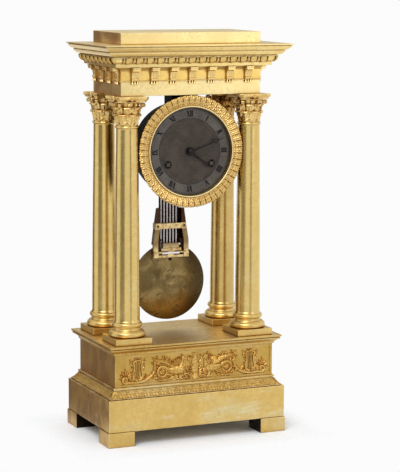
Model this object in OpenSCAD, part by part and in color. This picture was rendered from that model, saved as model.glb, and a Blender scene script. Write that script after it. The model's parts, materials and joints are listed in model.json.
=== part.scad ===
// Portico mantel clock: four columns carry an entablature, and the drum of the clock hangs between them.
// Origin at the centre of the base on the floor, +X right, +Y to the back, +Z up. Millimetres.

/* [Base] */
// Side of a foot block
foot_w = 33; // [26:0.5:40]
// Height of a foot block
foot_h = 17.5; // [12:0.5:24]
// How far a foot stands proud of the plinth
foot_proud = 1.2; // [0.4:0.2:3]
// Width of the plinth
plinth_w = 226; // [218:1:240]
// Depth of the plinth
plinth_d = 138.6; // [134:0.2:150]
// Height of the plinth
plinth_h = 38.5; // [32:0.5:48]
// Height of the sloped leaf moulding
slope_h = 12.3; // [9:0.1:16]
// Width of the relief box
box_w = 203.2; // [198:0.2:210]
// Depth of the relief box
box_d = 116.4; // [112:0.2:122]
// Height of the relief box
box_h = 37.7; // [34:0.1:48]
// Height of the moulded top of the base
base_top_h = 11.7; // [9:0.1:15]
// Thickness of the cast walls
wall = 3; // [2.4:0.1:4]
// Depth of the sunk panel behind the relief
panel_sink = 1.2; // [0.6:0.1:1.6]

/* [Columns] */
// Half the spacing of the columns across the front
column_x = 78; // [77.5:0.1:80]
// Half the spacing of the columns front to back
column_y = 36.9; // [36.5:0.1:38]
// Side of a column's square plinth
column_plinth_w = 45.4; // [43:0.1:46]
// Height of a column's square plinth
column_plinth_h = 7.7; // [6:0.1:10]
// Height of the moulded round base
column_base_h = 16.6; // [14:0.1:19]
// Radius of the shaft at the bottom
shaft_r_low = 15; // [13.6:0.1:15.6]
// Radius of the shaft at the top
shaft_r_top = 12.8; // [12:0.1:13.2]
// Height of the shaft
shaft_h = 232; // [232:1:250]
// Height of the capital with its abacus
capital_h = 33; // [31:0.5:38]
// Radius of the tie rod inside a column
tie_rod_r = 3; // [2:0.1:4]

/* [Entablature] */
// Width of the architrave
beam_w = 177.4; // [175:0.2:184]
// Depth of the architrave
beam_d = 89.4; // [88:0.2:94]
// Height of the architrave
architrave_h = 17; // [13:0.5:22]
// Height of the frieze above the architrave
frieze_h = 16; // [14:0.5:20]
// Height of the cornice
cornice_h = 26.3; // [22:0.1:32]
// Overhang of the cornice at the front and sides
cornice_out = 30; // [26:0.5:32]
// Overhang of the plain cornice at the back
cornice_out_back = 12; // [8:0.5:16]
// Height of the block on top
attic_h = 13.7; // [9:0.1:20]
// Spacing of the modillions
modillion_step = 24; // [20:0.5:24]
// Width of a modillion
modillion_w = 9.5; // [7:0.1:11]

/* [Clock] */
// Depth of the dial's centre below the architrave
dial_drop = 66.5; // [65.5:0.1:68]
// Radius of the dial that is seen
dial_r = 51.9; // [50:0.1:52.4]
// Outer radius of the bezel
bezel_r = 66.2; // [64:0.1:66.6]
// Outer radius of the drum
drum_r = 54.5; // [54:0.1:55]
// Depth of the drum behind the dial
drum_len = 42.5; // [38:0.5:46]
// Length of the minute hand
minute_hand_len = 45; // [38:0.5:48]
// Length of the hour hand
hour_hand_len = 36; // [28:0.5:40]
// Sideways place of the winding arbors
winding_x = 27.8; // [27:0.1:28.4]
// Radius of the bell
bell_r = 25; // [22:0.5:26]

/* [Pendulum] */
// Length from the pivot to the centre of the bob
pendulum_len = 202.5; // [198:0.5:204]
// Place of the pendulum behind the centre of the clock
pendulum_y = 23.5; // [23:0.1:25]
// Radius of the bob
bob_r = 46.8; // [42:0.2:47.4]
// Thickness of the bob at its middle
bob_t = 15; // [11:0.5:17]
// Radius of a rod of the gridiron
rod_r = 0.95; // [0.8:0.05:1.2]
// Spacing of the steel rods
rod_step = 4; // [3.8:0.05:4.4]

/* [Hidden] */
CASE_NODES = [
    "feet", "plinth", "plinth_moulding", "relief_box", "base_relief", "base_top", "base_board",
    "column_bases", "tie_rods", "tie_rod_nuts", "architrave", "frieze", "modillions", "cornice",
    "attic_block",
];
CLOCK_NODES = [
    "drum", "drum_hanger", "hanger_bolts", "bezel", "dial", "front_plate", "back_plate", "pillars",
    "plate_screws", "going_barrel", "going_spring", "going_arbor", "second_wheel", "centre_wheel",
    "third_wheel", "escape_wheel", "anchor", "cannon_pinion", "minute_hand", "minute_wheel", "hour_wheel",
    "hour_hand", "strike_barrel", "strike_spring", "strike_arbor", "pin_wheel", "count_wheel", "fly",
    "bell", "bell_stand", "hammer",
];
PENDULUM_NODES = ["suspension_cock", "steel_rods", "bronze_rods", "pendulum_frame", "bob", "rating_nut"];
CORNERS = [["fl", -1, -1], ["fr", 1, -1], ["bl", -1, 1], ["br", 1, 1]];
SHAFT_NODES = [for (c = CORNERS) str("column_shaft_", c[0])];
CAPITAL_NODES = [for (c = CORNERS) str("capital_", c[0])];
$fn = 64;

gilt = "goldenrod";
dull_gilt = "darkgoldenrod";
brass = "khaki";
steel = "lightsteelblue";
dark = "dimgray";

// Heights of the storeys, from the floor up
plinth_z = foot_h;
slope_z = plinth_z + plinth_h;
box_z = slope_z + slope_h;
base_top_z = box_z + box_h;
stand_z = base_top_z + base_top_h;
round_base_z = stand_z + column_plinth_h;
shaft_z = round_base_z + column_base_h;
capital_z = shaft_z + shaft_h;
architrave_z = capital_z + capital_h;
frieze_z = architrave_z + architrave_h;
cornice_z = frieze_z + frieze_h;
attic_z = cornice_z + cornice_h;
top_z = attic_z + attic_h;
dial_z = architrave_z - dial_drop;

// Small clearances
slip = 0.1;
run = 0.05;

// Points on an arc about (cx, cy), from angle a to angle b
function arc(cx, cy, r, a, b, n = 6) = [
    for (i = [0:n]) let(t = a + (b - a) * i / n) [cx + r * cos(t), cy + r * sin(t)]
];

// A closed outline about a core of depth d, from a front and a back profile of [overhang, height] points
function two_sided(front, back, d) = concat(
    [for (p = front) [-d / 2 - p[0], p[1]]],
    [for (i = [len(back) - 1:-1:0]) [d / 2 + back[i][0], back[i][1]]]
);

// A block whose four sides carry a moulding, mitred at the corners
module moulded_block(w, d, sides, back) {
    intersection() {
        rotate([90, 0, 90]) translate([0, 0, -w]) linear_extrude(2 * w) polygon(two_sided(sides, back, d));
        rotate([90, 0, 0]) translate([0, 0, -w]) linear_extrude(2 * w) polygon(two_sided(sides, sides, w));
    }
}

module box_at(w, d, z, h) {
    translate([-w / 2, -d / 2, z]) cube([w, d, h]);
}

module at_corners() {
    for (c = CORNERS) translate([c[1] * column_x, c[2] * column_y, 0]) children();
}

module rod_holes(z, h) {
    at_corners() translate([0, 0, z]) cylinder(r = tie_rod_r + slip, h = h);
}

// The base
module feet() {
    place_x = plinth_w / 2 + foot_proud - foot_w / 2;
    place_y = plinth_d / 2 + foot_proud - foot_w / 2;
    color(gilt) for (x = [-1, 1], y = [-1, 1])
        translate([x * place_x, y * place_y, 0]) box_at(foot_w, foot_w, 0, foot_h);
}

module plinth() {
    color(gilt) difference() {
        box_at(plinth_w, plinth_d, plinth_z, plinth_h);
        box_at(plinth_w - 2 * wall, plinth_d - 2 * wall, plinth_z + wall, plinth_h);
    }
}

board_h = 10;
module base_board() {
    color("saddlebrown") box_at(plinth_w - 2 * wall - 1, plinth_d - 2 * wall - 1, plinth_z + wall, board_h);
}

slope_out = 9;
slope_profile = concat(
    [[slope_out, slope_z], [slope_out, slope_z + 1]],
    arc(0, slope_z + 1, slope_out - 0.8, 0, 50, 4),
    [[1.5, box_z - 2.6], [1.2, box_z]]
);
module plinth_moulding() {
    color(dull_gilt) difference() {
        moulded_block(box_w, box_d, slope_profile, slope_profile);
        box_at(box_w - 2 * wall, box_d - 2 * wall, slope_z - 1, slope_h + 2);
    }
}

panel_edge = 2.8;
module relief_box() {
    color(gilt) difference() {
        box_at(box_w, box_d, box_z, box_h);
        box_at(box_w - 2 * wall, box_d - 2 * wall, box_z - 1, box_h + 2);
        translate([0, -box_d / 2 + panel_sink, box_z]) rotate([90, 0, 0]) linear_extrude(wall)
            translate([-box_w / 2 + panel_edge, panel_edge])
                square([box_w - 2 * panel_edge, box_h - 2 * panel_edge]);
    }
}

// Relief ornament: a tiered urn between two griffins, whose tails run into scrolls with lyres beside them.
// Its points are drawn for a box of relief_w by relief_h and follow the box's size.
stem_t = 1.5;
spray_t = 1.8;
ring_t = 2;
griffin_t = 2.2;
urn_t = 2.5;
relief_w = 203.2;
relief_h = 37.7;
relief_size = [box_w / relief_w, box_h / relief_h];
function fitted(points) = [for (p = points) [p[0] * relief_size[0], p[1] * relief_size[1]]];
function from(list, i) = list[max(0, min(i, len(list) - 1))];
function between(a, b, c, d, t) = 0.5 * (2 * b + (c - a) * t
    + (2 * a - 5 * b + 4 * c - d) * t * t + (3 * b - a - 3 * c + d) * t * t * t);
curve_steps = 4;
function curve(p) = concat(
    [for (i = [0:len(p) - 2], k = [0:curve_steps - 1])
        between(from(p, i - 1), p[i], p[i + 1], from(p, i + 2), k / curve_steps)],
    [p[len(p) - 1]]
);
function aside(a, b) = [a[1] - b[1], b[0] - a[0]] / norm(b - a);
function ribbon(p, w0, w1) = let (
    n = len(p) - 1,
    half = [for (i = [0:n]) aside(from(p, i - 1), from(p, i + 1)) * (w0 + (w1 - w0) * i / n) / 2]
) concat([for (i = [0:n]) p[i] + half[i]], [for (i = [0:n]) p[n - i] - half[n - i]]);

module stem(points, w0, w1) {
    linear_extrude(stem_t) polygon(ribbon(curve(fitted(points)), w0, w1));
}

// A pointed leaf from a point, turned from the upright
module bud(at, turn, length, w) {
    translate(fitted([at])[0]) rotate(turn) linear_extrude(spray_t)
        polygon(concat(
            [[0, 0]],
            [for (t = [0.15, 0.35, 0.55, 0.8]) [w / 2 * sin(180 * t), length * t]],
            [[0, length]],
            [for (t = [0.8, 0.55, 0.35, 0.15]) [-w / 2 * sin(180 * t), length * t]]
        ));
}

module base_relief() {
    color(gilt) translate([0, -box_d / 2 + panel_sink, box_z + box_h / 2]) rotate([90, 0, 0])
        union() {
            urn();
            for (s = [0, 1]) mirror([s, 0, 0]) relief_side();
        }
}

urn_half = [
    [3.4, 15.8], [3.9, 14.6], [3.1, 13], [3.6, 9.5], [4.6, 6.2], [5.4, 3.4], [7.8, 2.8], [7.8, 0.8],
    [5.8, 0], [6.2, -3.4], [4.8, -5], [5.8, -5.6], [5.8, -6.8], [3, -7.6], [3.4, -10], [6.6, -12.2],
    [7.2, -14], [7.2, -15.8]
];
module urn() {
    n = len(urn_half) - 1;
    linear_extrude(urn_t)
        polygon(fitted(concat(urn_half, [for (i = [0:n]) [-urn_half[n - i][0], urn_half[n - i][1]]])));
    for (s = [0, 1]) mirror([s, 0, 0]) {
        stem([[5.6, -12.4], [8.2, -9.2], [11.2, -8.4], [12.9, -10.8], [11, -12.8]], 2.2, 1);
        bud([5, -8], -50, 6.4, 2.6);
    }
}

griffin = [
    [11, 9], [12.6, 11.8], [14.8, 13], [15.8, 15.8], [17.4, 12.4], [18.6, 9], [20, 5.8], [23, 4.2],
    [27.5, 1.6], [33.6, -1.2], [34.4, -3.6], [29.5, -6.2], [25, -8.8], [21.6, -10.8], [20.4, -13],
    [19.6, -15.4], [15.2, -15.6], [15, -14.2], [17, -13], [17, -10.6], [14.6, -7.4], [13.6, -3.4],
    [13.8, 0.2], [15, 3.4], [15.2, 6.6], [13.4, 7.8]
];
scroll_at = [41.4, -4.6];
scroll_r = 7.6;
scroll_band = 2.1;
flower_r = 3.3;
lyre_x = 72.6;
end_scroll_at = [88.2, -10.8];
end_scroll_r = 4.3;
module relief_side() {
    linear_extrude(griffin_t) polygon(fitted(griffin));
    for (k = [0:3]) bud([21 + 1.6 * k, 4.4 - 0.8 * k], -8 - 20 * k, 9.8 - 0.5 * k, 3);
    scroll_ring(scroll_at, scroll_r, scroll_band);
    translate(fitted([scroll_at])[0]) cylinder(h = griffin_t, r = flower_r);
    stem(
        [[29.4, -12.4], [34, -14], [41, -14.4], [48, -13.6], [54, -11.4], [60, -11.6], [66, -13.8]], 2.4, 2.2
    );
    stem([[66, -13.8], [74, -14.4], [82, -14.2], [85.6, -13.6]], 2.2, 1.8);
    stem([[48, -8.6], [49.8, -3], [48.6, 2.6], [50.8, 7.4], [51, 11.4], [47.8, 12.8], [45.9, 10.4]], 2.2, 1);
    stem([[30, 1.6], [36, 6], [42, 7.4], [46, 6.4]], 1.6, 2.6);
    for (leaf = [[37, 6, 14], [41, 7, -12], [44, 7, -52]]) bud([leaf[0], leaf[1]], leaf[2], 6.4, 2.8);
    for (leaf = [[52, -11, -12], [56, -11, -48], [60, -11.4, 10]]) bud([leaf[0], leaf[1]], leaf[2], 6.2, 2.6);
    for (s = [-1, 1]) lyre_arm(s);
    for (k = [-1:1]) stem([[lyre_x + 1.4 * k, -9], [lyre_x + 2 * k, 2], [lyre_x + 2.6 * k, 10.6]], 1.5, 1.5);
    stem([[lyre_x - 5.6, 11], [lyre_x, 12.8], [lyre_x + 5.6, 11]], 1.8, 1.8);
    bud([lyre_x, 12], 0, 4, 2.6);
    scroll_ring(end_scroll_at, end_scroll_r, 1.9);
    for (k = [-1:1]) bud([end_scroll_at[0] + k, end_scroll_at[1] + 3.4], -26 * k, 9 - abs(k) * 2, 2.5);
}

module scroll_ring(at, r, band) {
    translate(fitted([at])[0]) linear_extrude(ring_t) difference() {
        circle(r = r);
        circle(r = r - band);
    }
}

module lyre_arm(s) {
    arm = [
        [0.6, -12.6], [4.6, -10.4], [6.4, -5.6], [5, 0.6], [5.2, 6], [6.8, 9.6], [9.6, 9.8], [10.2, 7.2], [8.8, 6]
    ];
    stem([for (p = arm) [lyre_x + s * p[0], p[1]]], 2.4, 1);
    bud([lyre_x + s * 3, -11.6], -s * 68, 6.6, 2.6);
}

base_top_out = 8.6;
base_top_profile = concat(
    [[0.3, base_top_z], [0.3, base_top_z + base_top_h * 0.06], [1.5, base_top_z + base_top_h * 0.09]],
    [[1.6, base_top_z + base_top_h * 0.19], [2.7, base_top_z + base_top_h * 0.3]],
    [[6.4, base_top_z + base_top_h * 0.53], [7.6, base_top_z + base_top_h * 0.66]],
    [[6.7, base_top_z + base_top_h * 0.78], [6.7, base_top_z + base_top_h * 0.82]],
    [[base_top_out, base_top_z + base_top_h * 0.83], [base_top_out, stand_z]]
);
base_top_plate = 4;
module base_top() {
    color(gilt) difference() {
        moulded_block(box_w, box_d, base_top_profile, base_top_profile);
        box_at(box_w - 4 * wall, box_d - 4 * wall, base_top_z - 1, base_top_h - base_top_plate + 1);
        rod_holes(base_top_z, base_top_h + 1);
    }
}

// The columns
torus_low_r = 4.5;
torus_top_r = 3.2;
module column_base() {
    difference() {
        union() {
            box_at(column_plinth_w, column_plinth_w, stand_z, column_plinth_h);
            translate([0, 0, round_base_z]) {
                cylinder(r = shaft_r_low, h = column_base_h);
                ring(shaft_r_low + 1.9, torus_low_r, torus_low_r * 0.7);
                cylinder(r = shaft_r_low + 1.9, h = torus_low_r * 1.4);
                translate([0, 0, torus_low_r * 1.4]) cylinder(r1 = 18, r2 = shaft_r_low + 0.2, h = 2.4);
                translate([0, 0, column_base_h - 5.6]) cylinder(r1 = shaft_r_low + 0.1, r2 = 16.6, h = 1.6);
                ring(shaft_r_low - 0.2, torus_top_r, column_base_h - 2.9);
            }
        }
        translate([0, 0, stand_z - 1]) cylinder(r = tie_rod_r + slip, h = shaft_z - stand_z + 2);
        translate([0, 0, shaft_z]) cylinder(r = 2 * shaft_r_low, h = 10);
    }
}

module ring(centre_r, r, z) {
    translate([0, 0, z]) rotate_extrude() translate([centre_r, 0]) intersection() {
        circle(r = r);
        translate([-centre_r, -r * 0.7]) square([centre_r + 2 * r, r * 1.6]);
    }
}

module column_bases() {
    color(gilt) at_corners() column_base();
}

astragal_r = 1.5;
module column_shaft() {
    color(gilt) difference() {
        union() {
            translate([0, 0, shaft_z]) cylinder(r1 = shaft_r_low, r2 = shaft_r_top, h = shaft_h);
            translate([0, 0, shaft_z]) cylinder(r = shaft_r_low + 1, h = 1.6);
            translate([0, 0, capital_z - 1.6 * astragal_r]) rotate_extrude()
                translate([shaft_r_top - 0.2, 0]) circle(r = astragal_r);
        }
        translate([0, 0, shaft_z - 1]) cylinder(r = tie_rod_r + slip, h = shaft_h + 2);
    }
}

// The capital: a bell with two rows of leaves, four corner scrolls and an abacus with hollow sides
abacus_h = 6.5;
bell_low_r = 11.6;
bell_top_r = 14.5;
leaf_t = 1.6;
leaf_deg = 36;
horn_r = 26;
module capital() {
    bell_h = capital_h - abacus_h;
    color(gilt) translate([0, 0, capital_z]) difference() {
        union() {
            cylinder(r1 = bell_low_r, r2 = bell_top_r, h = bell_h);
            for (k = [0:7]) rotate(45 * k) leaf(bell_low_r - 0.6, 0, 17, bell_h * 0.42);
            for (k = [0:7]) rotate(45 * k + 22.5) leaf(bell_low_r - 0.2, bell_h * 0.3, 18.6, bell_h * 0.78);
            for (k = [0:3]) rotate(90 * k + 45) corner_scroll(bell_h);
            translate([0, 0, bell_h]) abacus();
        }
        translate([0, 0, -1]) cylinder(r = tie_rod_r + slip, h = capital_h + 2);
    }
}

module leaf(foot_r, foot_z, tip_r, tip_z) {
    rotate(-leaf_deg / 2) rotate_extrude(angle = leaf_deg) polygon([
        [foot_r, foot_z], [foot_r + leaf_t, foot_z], [foot_r + leaf_t + 0.8, tip_z - 3], [tip_r, tip_z - 1.6],
        [tip_r, tip_z - 0.4], [tip_r - 1.4, tip_z + 0.6], [foot_r + 1.2, tip_z], [foot_r, tip_z - 2],
    ]);
}

module corner_scroll(bell_h) {
    translate([19.5, 2, bell_h - 3.6]) rotate([90, 0, 0]) cylinder(r = 3.4, h = 4);
    translate([11, -1.5, bell_h - 7]) cube([9, 3, 5]);
}

module abacus() {
    linear_extrude(abacus_h) difference() {
        intersection() {
            square(2 * horn_r * cos(45) + 3, center = true);
            rotate(45) square(2 * horn_r, center = true);
        }
        for (k = [0:3]) rotate(90 * k) translate([0, 56.5]) circle(r = 40, $fn = 96);
    }
}

nut_h = 5;
nut_w = 5.2;
nut_room = 0.2;
tie_rod_z = base_top_z - 6;
soffit_t = 4;
module tie_rods() {
    color(steel) at_corners() translate([0, 0, tie_rod_z]) cylinder(r = tie_rod_r, h = rod_top_z - tie_rod_z);
}
rod_top_z = architrave_z + soffit_t + nut_h + 3;

module tie_rod_nuts() {
    under_z = stand_z - base_top_plate - nut_h;
    color(steel) at_corners() for (z = [under_z, architrave_z + soffit_t]) translate([0, 0, z]) difference() {
        cylinder(r = nut_w, h = nut_h, $fn = 6);
        translate([0, 0, -1]) cylinder(r = tie_rod_r, h = nut_h + 2);
    }
}

// The entablature
hanger_bolt_x = 10;
hanger_y = -14;
hanger_bolt_r = 2.5;
module architrave() {
    color(gilt) difference() {
        box_at(beam_w, beam_d, architrave_z, architrave_h);
        box_at(beam_w - 2 * wall, beam_d - 2 * wall, architrave_z + soffit_t, architrave_h);
        rod_holes(architrave_z - 1, soffit_t + 2);
        at_corners() translate([0, 0, architrave_z + soffit_t])
            cylinder(r = nut_w + nut_room, h = architrave_h, $fn = 6);
        for (x = [-1, 1]) translate([x * hanger_bolt_x, hanger_y, architrave_z - 1])
            cylinder(r = hanger_bolt_r + slip, h = soffit_t + 2);
    }
}

module frieze() {
    color(gilt) difference() {
        box_at(beam_w, beam_d, frieze_z, frieze_h);
        box_at(beam_w - 2 * wall, beam_d - 2 * wall, frieze_z - 1, frieze_h + 2);
    }
}

modillion_out = 8;
drop_r = 1.1;
module modillion() {
    translate([-modillion_w / 2, 0, 0]) rotate([90, 0, 90]) linear_extrude(modillion_w) polygon([
        [0, frieze_h], [-modillion_out, frieze_h], [-modillion_out, frieze_h - 4],
        [-modillion_out + 1, frieze_h - 4.6], [-4.6, frieze_h - 8], [-2.6, 2], [-1.6, 0.6], [0, 0.6],
    ]);
    for (x = [-1, 0, 1]) translate([x * modillion_w / 3, -drop_r, -3]) cylinder(r = drop_r, h = 3.6);
}

front_count = 7;
side_count = 4;
function row(count) = [for (i = [0:count - 1]) (i - (count - 1) / 2) * modillion_step];
module modillions() {
    color(gilt) translate([0, 0, frieze_z]) {
        for (x = row(front_count)) translate([x, -beam_d / 2, 0]) modillion();
        for (s = [-1, 1], y = row(side_count)) translate([s * beam_w / 2, y, 0]) rotate(s * 90) modillion();
    }
}

// Cornice steps as shares of its overhang and height, from the frieze up
cornice_steps = [
    [0, 0], [0.34, 0.02], [0.35, 0.16], [0.38, 0.19], [0.55, 0.28], [0.58, 0.45], [0.6, 0.51], [0.7, 0.57],
    [0.81, 0.73], [0.91, 0.8], [1, 0.95], [1, 1],
];
function cornice_profile(out) = [for (p = cornice_steps) [p[0] * out, cornice_z + p[1] * cornice_h]];
module cornice() {
    color(gilt) difference() {
        moulded_block(beam_w, beam_d, cornice_profile(cornice_out), cornice_profile(cornice_out_back));
        box_at(beam_w - 2 * wall, beam_d - 2 * wall, cornice_z - 1, cornice_h - wall + 1);
    }
}

module attic_block() {
    color(gilt) difference() {
        box_at(beam_w, beam_d, attic_z, attic_h);
        box_at(beam_w - 2 * wall, beam_d - 2 * wall, attic_z - 1, attic_h - wall + 1);
    }
}

// The clock, drawn as seen from the front with its centre at the dial's centre.
// The dial's front is at dial_y, and y grows towards the back.
dial_y = -40;
dial_t = 1.5;
drum_front_y = dial_y + dial_t;
drum_back_y = drum_front_y + drum_len;
drum_t = 1.5;
drum_in_r = drum_r - drum_t;

module slab(y_front, t) {
    translate([0, y_front + t, dial_z]) rotate([90, 0, 0]) linear_extrude(t) children();
}

module bar_y(p, r, y0, y1) {
    translate([p[0], y0, dial_z + p[1]]) rotate([-90, 0, 0]) cylinder(r = r, h = y1 - y0);
}

// Arbors: gears that mesh stand at the sum of their pitch radii
winding_z = -15;
leaf_count = 10;
small_leaf_count = 8;
barrel_teeth = 64;
second_teeth = 60;
centre_teeth = 88;
third_teeth = 80;
escape_teeth = 36;
pin_teeth = 80;
barrel_mod = 0.6;
second_mod = 0.5;
centre_mod = 0.36;
third_mod = 0.32;
pin_mod = 0.3;
cannon_teeth = 12;
minute_teeth = 36;
hour_teeth = 40;
motion_mod = 0.5;
motion_gap = motion_mod * (cannon_teeth + minute_teeth) / 2;
hour_mod = 2 * motion_gap / (hour_teeth + leaf_count);

function gap(a, b, m) = m * (a + b) / 2;
function angle_of(p, q) = atan2(q[1] - p[1], q[0] - p[0]);
// The point at distance rp from p and rq from q, to the left of the way from p to q if side is 1
function meet(p, q, rp, rq, side) = let(
    d = norm(q - p),
    along = (rp * rp - rq * rq + d * d) / (2 * d),
    off = sqrt(rp * rp - along * along),
    u = (q - p) / d
) p + along * u + side * off * [-u[1], u[0]];
// How far a gear of n teeth, in direction a, is turned to mesh with an unturned gear of big_n teeth
function mesh_turn(a, big_n, n) = a + 180 + a * big_n / n + 180 / n;

centre_at = [0, 0];
going_at = [winding_x, winding_z];
strike_at = [-winding_x, winding_z];
barrel_gap = gap(barrel_teeth, leaf_count, barrel_mod);
second_gap = gap(second_teeth, leaf_count, second_mod);
second_at = meet(centre_at, going_at, second_gap, barrel_gap, 1);
pin_at = meet(centre_at, strike_at, second_gap, barrel_gap, 1);
escape_at = [0, 23.5];
centre_gap = gap(centre_teeth, small_leaf_count, centre_mod);
third_gap = gap(third_teeth, small_leaf_count, third_mod);
third_at = meet(centre_at, escape_at, centre_gap, third_gap, 1);
anchor_at = [0, 38];
minute_at = [0, -motion_gap];
fly_way = -70;
fly_at = pin_at + gap(pin_teeth, small_leaf_count, pin_mod) * [cos(fly_way), sin(fly_way)];
hammer_at = [-22, -36];

// Stub involute teeth, thinned for play
tooth_up = 0.7;
tooth_down = 0.95;
tooth_share = 0.4;
press_deg = 25;
function inv(a) = tan(a) * 180 / PI - a;
function half_tooth(r, pitch_r, n) = let(
    base = pitch_r * cos(press_deg),
    a = r > base ? acos(base / r) : 0
) 180 * tooth_share / n + inv(press_deg) - inv(a);
function spoke(r, a) = [r * cos(a), r * sin(a)];
function gear_points(n, m, turn) = let(
    pitch_r = m * n / 2,
    radii = [pitch_r - tooth_down * m, pitch_r, pitch_r + tooth_up * m],
    half = [for (r = radii) half_tooth(r, pitch_r, n)]
) [for (i = [0:n - 1], k = [0:5]) let(
    level = k < 3 ? k : 5 - k,
    side = k < 3 ? -1 : 1
) spoke(radii[level], turn + 360 * i / n + side * half[level])];

module crossed(rim_r, hub_r, arm_w, arms = 4) {
    difference() {
        children();
        difference() {
            circle(r = rim_r);
            circle(r = hub_r);
            for (k = [0:arms - 1]) rotate(360 * k / arms) translate([0, -arm_w / 2])
                square([2 * rim_r, arm_w]);
        }
    }
}

module wheel(p, n, m, y, t, hub_r = 3) {
    slab(y, t) translate(p) crossed(m * n / 2 - 2.2, hub_r, 1.6) polygon(gear_points(n, m, 0));
}

module pinion(p, n, m, turn, y0, y1) {
    slab(y0, y1 - y0) translate(p) polygon(gear_points(n, m, turn));
}

// Two plates hold the arbors' pivots
plate_t = 2;
front_plate_y = -30;
back_plate_y = -5;
front_plate_r = 51;
back_plate_r = 46;
arbor_r = 0.9;
pivot_r = 0.6;
play = 0.2;
module arbor(p, front_y = front_plate_y, back_y = back_plate_y + plate_t) {
    bar_y(p, arbor_r, front_plate_y + plate_t + play, back_plate_y - play);
    bar_y(p, pivot_r, front_y, back_y);
}

module pivot_holes(points, r) {
    for (p = points) translate(p) circle(r = r + run, $fn = 32);
}

pillar_at = [[34, 26], [-34, 26], [10, -40], [-8, -42]];
pillar_r = 2.4;
lug_r = 47.5;
lug_at = [for (a = [45:90:315]) lug_r * [cos(a), sin(a)]];
screw_r = 1.2;
winding_r = 3;
train_at = [second_at, third_at, escape_at, anchor_at, pin_at, fly_at, hammer_at];

module front_plate() {
    color(brass) {
        slab(front_plate_y, plate_t) difference() {
            circle(r = front_plate_r);
            pivot_holes(train_at, pivot_r);
            pivot_holes([going_at, strike_at], winding_r);
            pivot_holes([centre_at], arbor_r + 0.4);
            pivot_holes(concat(lug_at, pillar_at), screw_r);
        }
        bar_y(minute_at, 1.2, front_plate_y - 6, front_plate_y);
    }
}

module back_plate() {
    color(brass) slab(back_plate_y, plate_t) difference() {
        circle(r = back_plate_r);
        pivot_holes([second_at, third_at, escape_at, fly_at], pivot_r);
        pivot_holes([anchor_at, pin_at, hammer_at], arbor_r);
        pivot_holes([going_at, strike_at], winding_r);
        pivot_holes([centre_at], pivot_r);
        pivot_holes(pillar_at, screw_r);
    }
}

module pillars() {
    color(brass) for (p = pillar_at) {
        bar_y(p, pillar_r, front_plate_y + plate_t, back_plate_y);
        bar_y(p, screw_r, front_plate_y - 0.6, back_plate_y + plate_t + 0.8);
    }
}

lug_w = 6;
lug_t = 4;
module drum() {
    color(dark) {
        slab(drum_front_y, drum_len) difference() {
            circle(r = drum_r);
            circle(r = drum_in_r);
        }
        slab(front_plate_y + plate_t, lug_t) intersection() {
            difference() {
                circle(r = drum_in_r + 0.5);
                circle(r = lug_r - 2);
                pivot_holes(lug_at, screw_r);
            }
            for (a = [45, 135]) rotate(a) square([4 * drum_r, lug_w], center = true);
        }
    }
}

module plate_screws() {
    color(steel) for (p = lug_at) {
        bar_y(p, screw_r, front_plate_y, front_plate_y + plate_t + lug_t);
        bar_y(p, 2 * screw_r, front_plate_y - 1, front_plate_y);
    }
}

hanger_w = 34;
hanger_d = 22;
module drum_hanger() {
    low = dial_z + sqrt(drum_r * drum_r - hanger_w * hanger_w / 4);
    color(dark) difference() {
        translate([0, hanger_y, 0]) box_at(hanger_w, hanger_d, low, architrave_z - low);
        bar_y(centre_at, drum_r, -100, 100);
        for (x = [-1, 1]) translate([x * hanger_bolt_x, hanger_y, low])
            cylinder(r = hanger_bolt_r, h = architrave_z);
    }
}

module hanger_bolts() {
    reach = dial_z + sqrt(drum_r * drum_r - (hanger_bolt_x - hanger_bolt_r) ^ 2);
    color(steel) for (x = [-1, 1]) translate([x * hanger_bolt_x, hanger_y, 0]) {
        translate([0, 0, reach]) cylinder(r = hanger_bolt_r, h = architrave_z + soffit_t + 2 - reach);
        translate([0, 0, architrave_z + soffit_t]) cylinder(r = 2 * hanger_bolt_r, h = 4, $fn = 6);
    }
}

// The bezel's section, as [radius, way forward of the dial]: a bright flange, then the crest for the leaves
bezel_back = 4;
module bezel() {
    seat_r = drum_r + slip;
    color(gilt) translate([0, dial_y, dial_z]) rotate([90, 0, 0]) rotate_extrude($fn = 128) polygon([
        [dial_r, 0], [dial_r, 4], [dial_r + 0.8, 5.2], [dial_r + 3, 5.4], [dial_r + 3.6, 5],
        [bezel_r - 7, 6.6],
        [bezel_r - 3.4, 7.4], [bezel_r - 0.8, 6.8], [bezel_r, 5.6], [bezel_r - 0.8, 4.4], [bezel_r - 3, 2.4],
        [bezel_r - 3.2, -1.6], [bezel_r - 6, -bezel_back], [seat_r, -bezel_back], [seat_r, 0],
    ]);
}

dial_hole_r = 4.6;
winding_hole_r = 4;
module dial() {
    color("slategray") slab(dial_y, dial_t) difference() {
        circle(r = drum_r);
        circle(r = dial_hole_r);
        for (p = [going_at, strike_at]) translate(p) circle(r = winding_hole_r);
    }
}

// Each barrel is a closed cup with the great wheel at its back, and the spring coils inside it
barrel_r = 17.4;
lug_room = 0.6;
barrel_y = front_plate_y + plate_t + lug_t + lug_room;
barrel_back_y = -12;
barrel_t = 1.4;
barrel_hub_r = 4;
module barrel(p) {
    difference() {
        union() {
            bar_y(p, barrel_r, barrel_y, barrel_back_y);
            slab(barrel_back_y - 2, 2) translate(p) polygon(gear_points(barrel_teeth, barrel_mod, 0));
        }
        bar_y(p, barrel_r - barrel_t, barrel_y + barrel_t, barrel_back_y - barrel_t);
        bar_y(p, barrel_hub_r + run, barrel_y - 1, barrel_back_y + 1);
    }
}

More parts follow.
